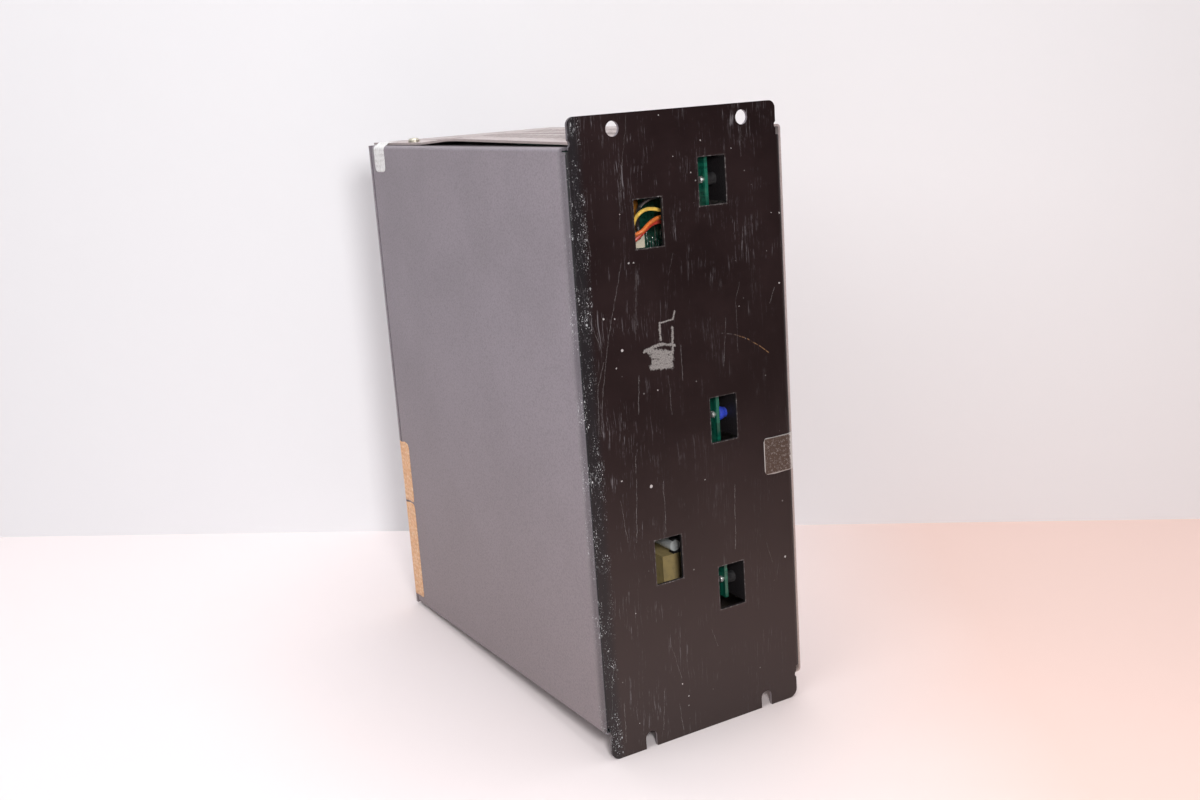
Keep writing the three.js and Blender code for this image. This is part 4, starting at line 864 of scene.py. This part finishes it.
class PSU_OT_finish_boards(bpy.types.Operator):
    """Solder mask on both boards, and the parts that stand on them"""

    bl_idname = "psu.finish_boards"
    bl_label = "Finish boards"

    def execute(self, context):
        green = solder_mask("board_green", (0.006, 0.11, 0.07))
        black = moulded("black_moulding", (0.005, 0.004, 0.005), 0.65)
        nylon = moulded("natural_nylon", (0.62, 0.55, 0.43), 0.5)
        finishes = {
            "control_board": green,
            "power_board": green,
            "control_chip": black,
            "bridge_rectifier": black,
            "power_transistor_1": black,
            "power_transistor_2": black,
            "fuse_holder": black,
            "bulk_capacitor": moulded("black_sleeve", (0.012, 0.012, 0.014), 0.3, 0.3),
            "output_capacitor": moulded("blue_sleeve", (0.02, 0.035, 0.22), 0.3, 0.3),
            "board_spacer_1": black,
            "board_spacer_2": moulded("blue_bush", (0.03, 0.06, 0.5), 0.3, 0.4),
            "board_spacer_3": black,
            "film_capacitor": moulded("yellow_case", (0.34, 0.255, 0.11), 0.4, 0.2),
            "control_header": nylon,
            "transformer_bobbin": nylon,
            "transformer_core": moulded("ferrite_grey", (0.022, 0.022, 0.024), 0.6),
            "transformer_coil": moulded("amber_tape", (0.3, 0.115, 0.012), 0.25, 0.5),
            "output_choke": moulded("enamelled_ring", (0.035, 0.06, 0.03), 0.4),
            "heat_sink": plated_metal("mill_aluminium", (0.6, 0.61, 0.62), 0.42),
            "board_fuse": clear_shell("fuse_glass", (0.9, 0.93, 0.92), 0.4),
        }
        for name, finish in finishes.items():
            dress(name, finish)
        return {"FINISHED"}


class PSU_OT_solder_joints(bpy.types.Operator):
    """Solder joints on the boards' wall-side faces, grown on a grid"""

    bl_idname = "psu.solder_joints"
    bl_label = "Grow solder joints"

    def tree(self):
        labels = ("Pitch", "Width", "Height", "Filled", "Foot", "Rise")
        growth = Growth("solder_joints", {**dict.fromkeys(labels, "Float"), "Finish": "Material"})
        node, given = growth.node, growth.given

        def count(size):
            return node("ShaderNodeMath", {0: given[size], 1: given["Pitch"]}, operation="DIVIDE")[0]

        sizes = {"Size X": given["Width"], "Size Y": given["Height"]}
        counts = {"Vertices X": count("Width"), "Vertices Y": count("Height")}
        grid = node("GeometryNodeMeshGrid", {**sizes, **counts})
        chance = {"Probability": given["Filled"], "Seed": 11}
        keep = node("FunctionNodeRandomValue", chance, data_type="BOOLEAN")
        points = node("GeometryNodeMeshToPoints", {"Mesh": grid["Mesh"], "Selection": keep[3]})
        cone = node(
            "GeometryNodeMeshCone",
            {"Vertices": 8, "Radius Top": 0.00025, "Radius Bottom": given["Foot"], "Depth": given["Rise"]},
        )
        smooth = node("GeometryNodeSetShadeSmooth", {"Geometry": cone["Mesh"]})
        feeds = {"Points": points["Points"], "Instance": smooth["Geometry"]}
        return growth.end(node("GeometryNodeInstanceOnPoints", feeds)["Instances"])

    def execute(self, context):
        settings = context.scene.psu_solder
        tin = plated_metal("solder_tin", (0.72, 0.73, 0.72), 0.25)
        tree = self.tree()
        for board in ("control_board", "power_board"):
            low, high = (Vector(corner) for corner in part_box(board))
            margin = 0.007
            source = bpy.data.objects.new("joint_source", bpy.data.meshes.new("joint_source"))
            context.scene.collection.objects.link(source)
            values = {
                "Pitch": settings.pitch,
                "Width": high.y - low.y - 2 * margin,
                "Height": high.z - low.z - 2 * margin,
                "Filled": settings.filled if board == "control_board" else 0.06,
                "Foot": settings.joint_diameter / 2,
                "Rise": settings.joint_height,
                "Finish": tin,
            }
            joints = grown_piece(board + "_joints", source, tree, values)
            turn = Matrix(((0, 0, 1, 0), (1, 0, 0, 0), (0, 1, 0, 0), (0, 0, 0, 1)))
            middle = (low + high) / 2
            middle.x = high.x + 0.00002
            joints.data.transform(Matrix.Translation(middle) @ turn)
            finish_piece(joints, tin, CASE)
        return {"FINISHED"}


class PSU_OT_tinned_tracks(bpy.types.Operator):
    """Raised solder-covered tracks on the power board, next to the transformer"""

    bl_idname = "psu.tinned_tracks"
    bl_label = "Lay tinned tracks"

    OFF_BOARD = 0.00001
    TRACK_RISE = 0.0004
    # Each track's Y, lower end, upper end and half width, in metres.
    LANES = (
        (-0.0182, 0.0795, 0.0862, 0.00045),
        (-0.0204, 0.0740, 0.0815, 0.0003),
        (-0.0224, 0.0785, 0.0875, 0.0005),
        (-0.0248, 0.0750, 0.0830, 0.0003),
        (-0.0270, 0.0730, 0.0812, 0.0005),
        (-0.0292, 0.0780, 0.0850, 0.0003),
    )

    def execute(self, context):
        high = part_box("power_board")[1]
        tin = plated_metal("track_tin", (0.66, 0.74, 0.72), 0.2)
        steps = 10

        def build(bm):
            for lane, (y, bottom, top, half) in enumerate(self.LANES):
                rings = []
                for step in range(steps + 1):
                    share = step / steps
                    z = bottom + (top - bottom) * share
                    swell = 1.0 + 0.25 * math.sin(share * 19 + lane)
                    ring = []
                    for side in range(7):
                        angle = math.pi * side / 6
                        rise = self.OFF_BOARD + self.TRACK_RISE * math.sin(angle) * swell
                        ring.append(bm.verts.new((high[0] + rise, y + half * math.cos(angle) * swell, z)))
                    rings.append(ring)
                for a, b in zip(rings, rings[1:]):
                    for side in range(7):
                        after = (side + 1) % 7
                        bm.faces.new((a[side], a[after], b[after], b[side]))
                bm.faces.new(rings[0])
                bm.faces.new(rings[-1])

        tracks = mesh_piece("tinned_tracks", build)
        finish_piece(tracks, tin, CASE)
        return {"FINISHED"}


class PSU_OT_wind_choke(bpy.types.Operator):
    """Turns of enamelled wire round the output choke"""

    bl_idname = "psu.wind_choke"
    bl_label = "Wind choke"

    def tree(self):
        labels = ("Ring Radius", "Turn Radius", "Wire Radius")
        inputs = {"Turns": "Int", **dict.fromkeys(labels, "Float"), "Finish": "Material"}
        growth = Growth("choke_turns", inputs)
        node, given = growth.node, growth.given

        def circle(resolution, radius):
            feeds = {"Resolution": resolution, "Radius": given[radius]}
            return node("GeometryNodeCurvePrimitiveCircle", feeds)["Curve"]

        outlines = {"Curve": circle(14, "Turn Radius"), "Profile Curve": circle(6, "Wire Radius")}
        tube = node("GeometryNodeCurveToMesh", outlines)
        smooth = node("GeometryNodeSetShadeSmooth", {"Geometry": tube["Mesh"]})
        ring = {"Curve": circle(given["Turns"], "Ring Radius")}
        points = node("GeometryNodeCurveToPoints", ring, mode="EVALUATED")
        feeds = {"Points": points["Points"], "Instance": smooth["Geometry"], "Rotation": points["Rotation"]}
        return growth.end(node("GeometryNodeInstanceOnPoints", feeds)["Instances"])

    def execute(self, context):
        settings = context.scene.psu_winding
        low, high = (Vector(corner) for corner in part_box("output_choke"))
        thick = (high.x - low.x) / 2
        radius = (high.z - low.z) / 2 - thick
        copper = moulded("enamelled_copper", (0.42, 0.12, 0.035), 0.25, 0.6)
        source = bpy.data.objects.new("turn_source", bpy.data.meshes.new("turn_source"))
        context.scene.collection.objects.link(source)
        values = {
            "Turns": settings.choke_turns,
            "Ring Radius": radius,
            "Turn Radius": thick + settings.wire_diameter * 0.5,
            "Wire Radius": settings.wire_diameter / 2,
            "Finish": copper,
        }
        winding = grown_piece("choke_winding", source, self.tree(), values)
        middle = (low + high) / 2
        winding.data.transform(Matrix.Translation(middle) @ Matrix.Rotation(math.radians(90), 4, "Y"))
        finish_piece(winding, copper, CASE)
        return {"FINISHED"}


class PSU_OT_finish_wiring(bpy.types.Operator):
    """Sleeving on the harness and on the supply wires"""

    bl_idname = "psu.finish_wiring"
    bl_label = "Finish wiring"

    def execute(self, context):
        sleeves = {
            "harness_wire_black": (0.012, 0.012, 0.013),
            "harness_wire_yellow": (0.85, 0.56, 0.1),
            "harness_wire_orange": (0.72, 0.17, 0.03),
            "harness_wire_red": (0.5, 0.04, 0.02),
            "harness_wire_white": (0.6, 0.57, 0.5),
            "output_wire_plus": (0.42, 0.02, 0.015),
            "output_wire_minus": (0.012, 0.012, 0.013),
            "earth_wire": (0.12, 0.3, 0.04),
            "input_wire_neutral": (0.03, 0.08, 0.4),
            "input_wire_line": (0.1, 0.04, 0.02),
        }
        for name, colour in sleeves.items():
            dress(name, moulded(name + "_sleeve", colour, 0.3, 0.5))
        return {"FINISHED"}


class PSU_OT_finish_terminals(bpy.types.Operator):
    """Moulding, guard, trimmer and lamp on the front"""

    bl_idname = "psu.finish_terminals"
    bl_label = "Finish terminals"

    def execute(self, context):
        dress("terminal_block", moulded("block_moulding", (0.014, 0.014, 0.015), 0.42))
        dress("terminal_guard", clear_shell("guard_clear", (0.9, 0.92, 0.93), 0.22))
        dress("trimmer_body", moulded("trimmer_blue", (0.02, 0.06, 0.38), 0.35))
        dress("trimmer_rotor", moulded("rotor_white", (0.7, 0.66, 0.56), 0.4))
        dress("indicator_lamp", clear_shell("lamp_green", (0.06, 0.5, 0.16), 0.85))
        return {"FINISHED"}


class PSU_OT_stick_seals(bpy.types.Operator):
    """Two paper seals over the seam between the side wall and the front panel"""

    bl_idname = "psu.stick_seals"
    bl_label = "Stick seals"

    def execute(self, context):
        settings = context.scene.psu_labels
        orange = paper_print(
            "seal_paper", tuple(settings.seal_colour), (0.78, 0.55, 0.36), (0.42, 0.2, 0.09)
        )
        path = [
            Vector((WALL_X, FRONT_Y + settings.seal_width)),
            Vector((WALL_X, FRONT_Y + 0.0004)),
            Vector((WALL_X - 0.0001, FRONT_Y + 0.0001)),
            Vector((WALL_X - 0.0004, FRONT_Y)),
            Vector((WALL_X - 0.0105, FRONT_Y)),
        ]
        path.reverse()
        seals = (("upper_seal", -0.065, -0.032, 3), ("lower_seal", -0.1198, -0.0662, 8))
        for name, low_z, high_z, seed in seals:
            seal = label_piece(name, path, low_z, high_z, 0.0022, settings.thickness, 0.0005, seed)
            finish_piece(seal, orange, CASE)
        return {"FINISHED"}


class PSU_OT_stick_labels(bpy.types.Operator):
    """The white label over the wall's top corner and the worn foil on the rear plate"""

    bl_idname = "psu.stick_labels"
    bl_label = "Stick labels"

    def execute(self, context):
        settings = context.scene.psu_labels
        foil = foil_print("worn_foil", tuple(settings.foil_colour))
        path = [
            Vector((COVER_WALL_X, -0.0095)),
            Vector((COVER_WALL_X, -0.0024)),
            Vector((COVER_WALL_X + 0.0006, -0.0014)),
            Vector((COVER_WALL_X + 0.0018, -0.0006)),
            Vector((COVER_WALL_X + 0.0040, 0.0)),
            Vector((-0.0375, 0.0)),
        ]
        path.reverse()
        patch = label_piece("foil_label", path, -0.0268, -0.0098, 0.0018, settings.thickness, 0.0002, 4)
        finish_piece(patch, foil, CASE)

        white = paper_print("white_paper", (0.72, 0.72, 0.72), (0.6, 0.58, 0.57), (0.35, 0.34, 0.35))
        white_piece = self.corner_label(settings.thickness)
        finish_piece(white_piece, white, CASE)
        return {"FINISHED"}

    def corner_label(self, thickness):
        """A label that climbs the side wall and folds over the top onto the cover."""
        bend = 0.0018
        front, rear = -0.1973, -0.1840
        cover_edge = COVER_HIGH[0]
        cover_top = CASE_TOP + 0.0013
        profile = [Vector((WALL_X, 0.1120)), Vector((WALL_X, CASE_TOP - bend))]
        for step in range(1, 5):
            angle = math.radians(90) * step / 5
            profile.append(
                Vector((WALL_X - bend + bend * math.cos(angle), CASE_TOP - bend + bend * math.sin(angle)))
            )
        profile += [Vector((cover_edge + 0.0004, CASE_TOP + 0.0007)), Vector((cover_edge, cover_top))]
        profile.append(Vector((cover_edge - 0.005, cover_top)))
        length = sum((b - a).length for a, b in zip(profile, profile[1:]))
        columns, rows = 24, 36
        corner = 0.003

        def build(bm):
            layers = []
            for lift in (UNDER_LABEL, UNDER_LABEL + thickness):
                grid = []
                for row in range(rows + 1):
                    distance = length * row / rows
                    point, direction = along_path(profile, distance)
                    outward = Vector((direction.y, -direction.x))
                    spot = point + outward * lift
                    start = front + corner_inset(distance, corner)
                    end = rear - corner_inset(distance, corner)
                    line = []
                    for column in range(columns + 1):
                        y = start + (end - start) * column / columns
                        line.append(bm.verts.new((spot.x, y, spot.y)))
                    grid.append(line)
                layers.append(grid)
            close_sheet(bm, layers)

        return mesh_piece("corner_label", build)


class PSU_OT_set_stage(bpy.types.Operator):
    """Paper floor under the leaning unit, backdrop, soft lights and camera"""

    bl_idname = "psu.set_stage"
    bl_label = "Set stage"

    def paper(self, name, colour, warm):
        made, w = material(name)
        place = w.millimetres()
        x, y, _ = w.split(place)
        cloud = w.noise(place, 0.004, 3.0)
        side = w.step(w.scaled(x, -0.86, w.times(y, 0.51)), -20.0, 200.0, -0.1, 1.0)
        share = w.times(w.scaled(cloud, 0.25, side, clamp=True), warm)
        w.surface(Base_Color=w.mix(share, colour, (0.71, 0.485, 0.415)), Roughness=0.8)
        # The paper is seen and lit from its front only, so it never hides the unit from behind.
        behind = w.node("ShaderNodeNewGeometry").outputs["Backfacing"]
        shadow = w.node("ShaderNodeLightPath").outputs["Is Shadow Ray"]
        w.surface(Alpha=w.minus(1.0, w.most(behind, shadow)))
        w.surface(Normal=w.bump(w.noise(place, 0.02, 3.0), 0.1, 0.002))
        return made

    def quad(self, name, corners, finish):
        a, b, c = (Vector(corner) for corner in corners[:3])
        away = (b - a).cross(c - b).dot(a) > 0.0
        mesh = bpy.data.meshes.new(name)
        mesh.from_pydata(corners, [], [(3, 2, 1, 0) if away else (0, 1, 2, 3)])
        made = bpy.data.objects.new(name, mesh)
        made.data.materials.append(finish)
        bpy.context.scene.collection.objects.link(made)
        return made

    def light(self, name, position, target, size, power):
        lamp = bpy.data.lights.new(name, "AREA")
        lamp.shape = "DISK"
        lamp.size = size
        lamp.energy = power
        made = bpy.data.objects.new(name, lamp)
        direction = Vector(target) - Vector(position)
        turn = direction.to_track_quat("-Z", "Y").to_matrix().to_4x4()
        made.matrix_world = Matrix.Translation(position) @ turn
        bpy.context.scene.collection.objects.link(made)

    def execute(self, context):
        settings = context.scene.psu_stage
        lean = math.tan(settings.lean)
        foot = CHASSIS_LOW[2] - 0.00005

        def on_floor(x, y):
            return (x, y, foot - y * lean)

        floor = self.paper("floor_paper", tuple(settings.floor_colour), 0.75)
        wall = self.paper("backdrop_paper", tuple(settings.wall_colour), 0.0)
        along = Vector((-0.617, 0.427)).normalized()
        corner = Vector((0.232, -0.462))
        left = corner - along * 1.1
        right = corner + along * 1.9
        toward = Vector((0.569, 0.823))
        near = 1.25
        self.quad(
            "floor",
            [on_floor(*spot) for spot in (left, left + toward * near, right + toward * near, right)],
            floor,
        )
        height = 1.3
        self.quad(
            "backdrop",
            [on_floor(*left), on_floor(*right), (right.x, right.y, height), (left.x, left.y, height)],
            wall,
        )
        self.light("key_light", (0.8, 0.02, 0.75), (0.0, -0.12, 0.0), 1.1, settings.key_power)
        self.light("fill_light", (-0.1, -0.1, 1.15), (0.0, -0.2, -0.1), 0.9, settings.fill_power)
        self.light("window_light", (0.25, 0.54, 0.24), (0.0, 0.0, 0.0), 0.14, settings.window_power)
        self.light("front_light", (-0.55, -0.85, 0.25), (0.0, -0.18, 0.0), 0.6, settings.front_power)
        world = bpy.data.worlds.new("studio")
        world.use_nodes = True
        sky = world.node_tree.nodes["Background"].inputs
        sky["Color"].default_value = (0.9, 0.9, 0.92, 1.0)
        sky["Strength"].default_value = 0.14
        context.scene.world = world
        context.scene.view_settings.view_transform = "Standard"

        camera = bpy.data.cameras.new("camera")
        camera.sensor_width = 36.0
        camera.lens = settings.lens
        camera.clip_start = 0.01
        camera.clip_end = 20.0
        made = bpy.data.objects.new("camera", camera)
        right_axis = Vector((-0.85586851, 0.51261844, -0.06863981))
        up_axis = Vector((-0.17521954, -0.16252661, 0.97102174))
        back_axis = right_axis.cross(up_axis).normalized()
        turn = Matrix((right_axis, up_axis, back_axis)).transposed().to_4x4()
        made.matrix_world = Matrix.Translation((0.31348, 0.46591, 0.14931)) @ turn
        context.scene.collection.objects.link(made)
        context.scene.camera = made
        return {"FINISHED"}


# ---------------------------------------------------------------- panel and run


STEPS = (
    PSU_OT_paint_case,
    PSU_OT_finish_fasteners,
    PSU_OT_finish_boards,
    PSU_OT_solder_joints,
    PSU_OT_tinned_tracks,
    PSU_OT_wind_choke,
    PSU_OT_finish_wiring,
    PSU_OT_finish_terminals,
    PSU_OT_stick_seals,
    PSU_OT_stick_labels,
    PSU_OT_set_stage,
)
SETTINGS = {
    "psu_paint": PaintSettings,
    "psu_labels": LabelSettings,
    "psu_winding": WindingSettings,
    "psu_solder": SolderSettings,
    "psu_stage": StageSettings,
}


class PSU_PT_sidebar(bpy.types.Panel):
    """Steps and settings of the power supply's looks"""

    bl_idname = "PSU_PT_sidebar"
    bl_label = "Power supply"
    bl_space_type = "VIEW_3D"
    bl_region_type = "UI"
    bl_category = "Power supply"

    def draw(self, context):
        for step in STEPS:
            self.layout.operator(step.bl_idname)
        for name, group in SETTINGS.items():
            box = self.layout.box()
            for label in group.__annotations__:
                box.prop(getattr(context.scene, name), label)


CLASSES = (*SETTINGS.values(), *STEPS, PSU_PT_sidebar)


def register():
    for cls in CLASSES:
        bpy.utils.register_class(cls)
    for name, group in SETTINGS.items():
        setattr(bpy.types.Scene, name, PointerProperty(type=group))


def unregister():
    for name in SETTINGS:
        delattr(bpy.types.Scene, name)
    for cls in reversed(CLASSES):
        bpy.utils.unregister_class(cls)


def main():
    register()
    make_groups()
    bpy.ops.psu.set_stage()
    for step in STEPS:
        if step is not PSU_OT_set_stage:
            getattr(bpy.ops.psu, step.bl_idname.split(".")[1])()


if __name__ == "__main__":
    main()
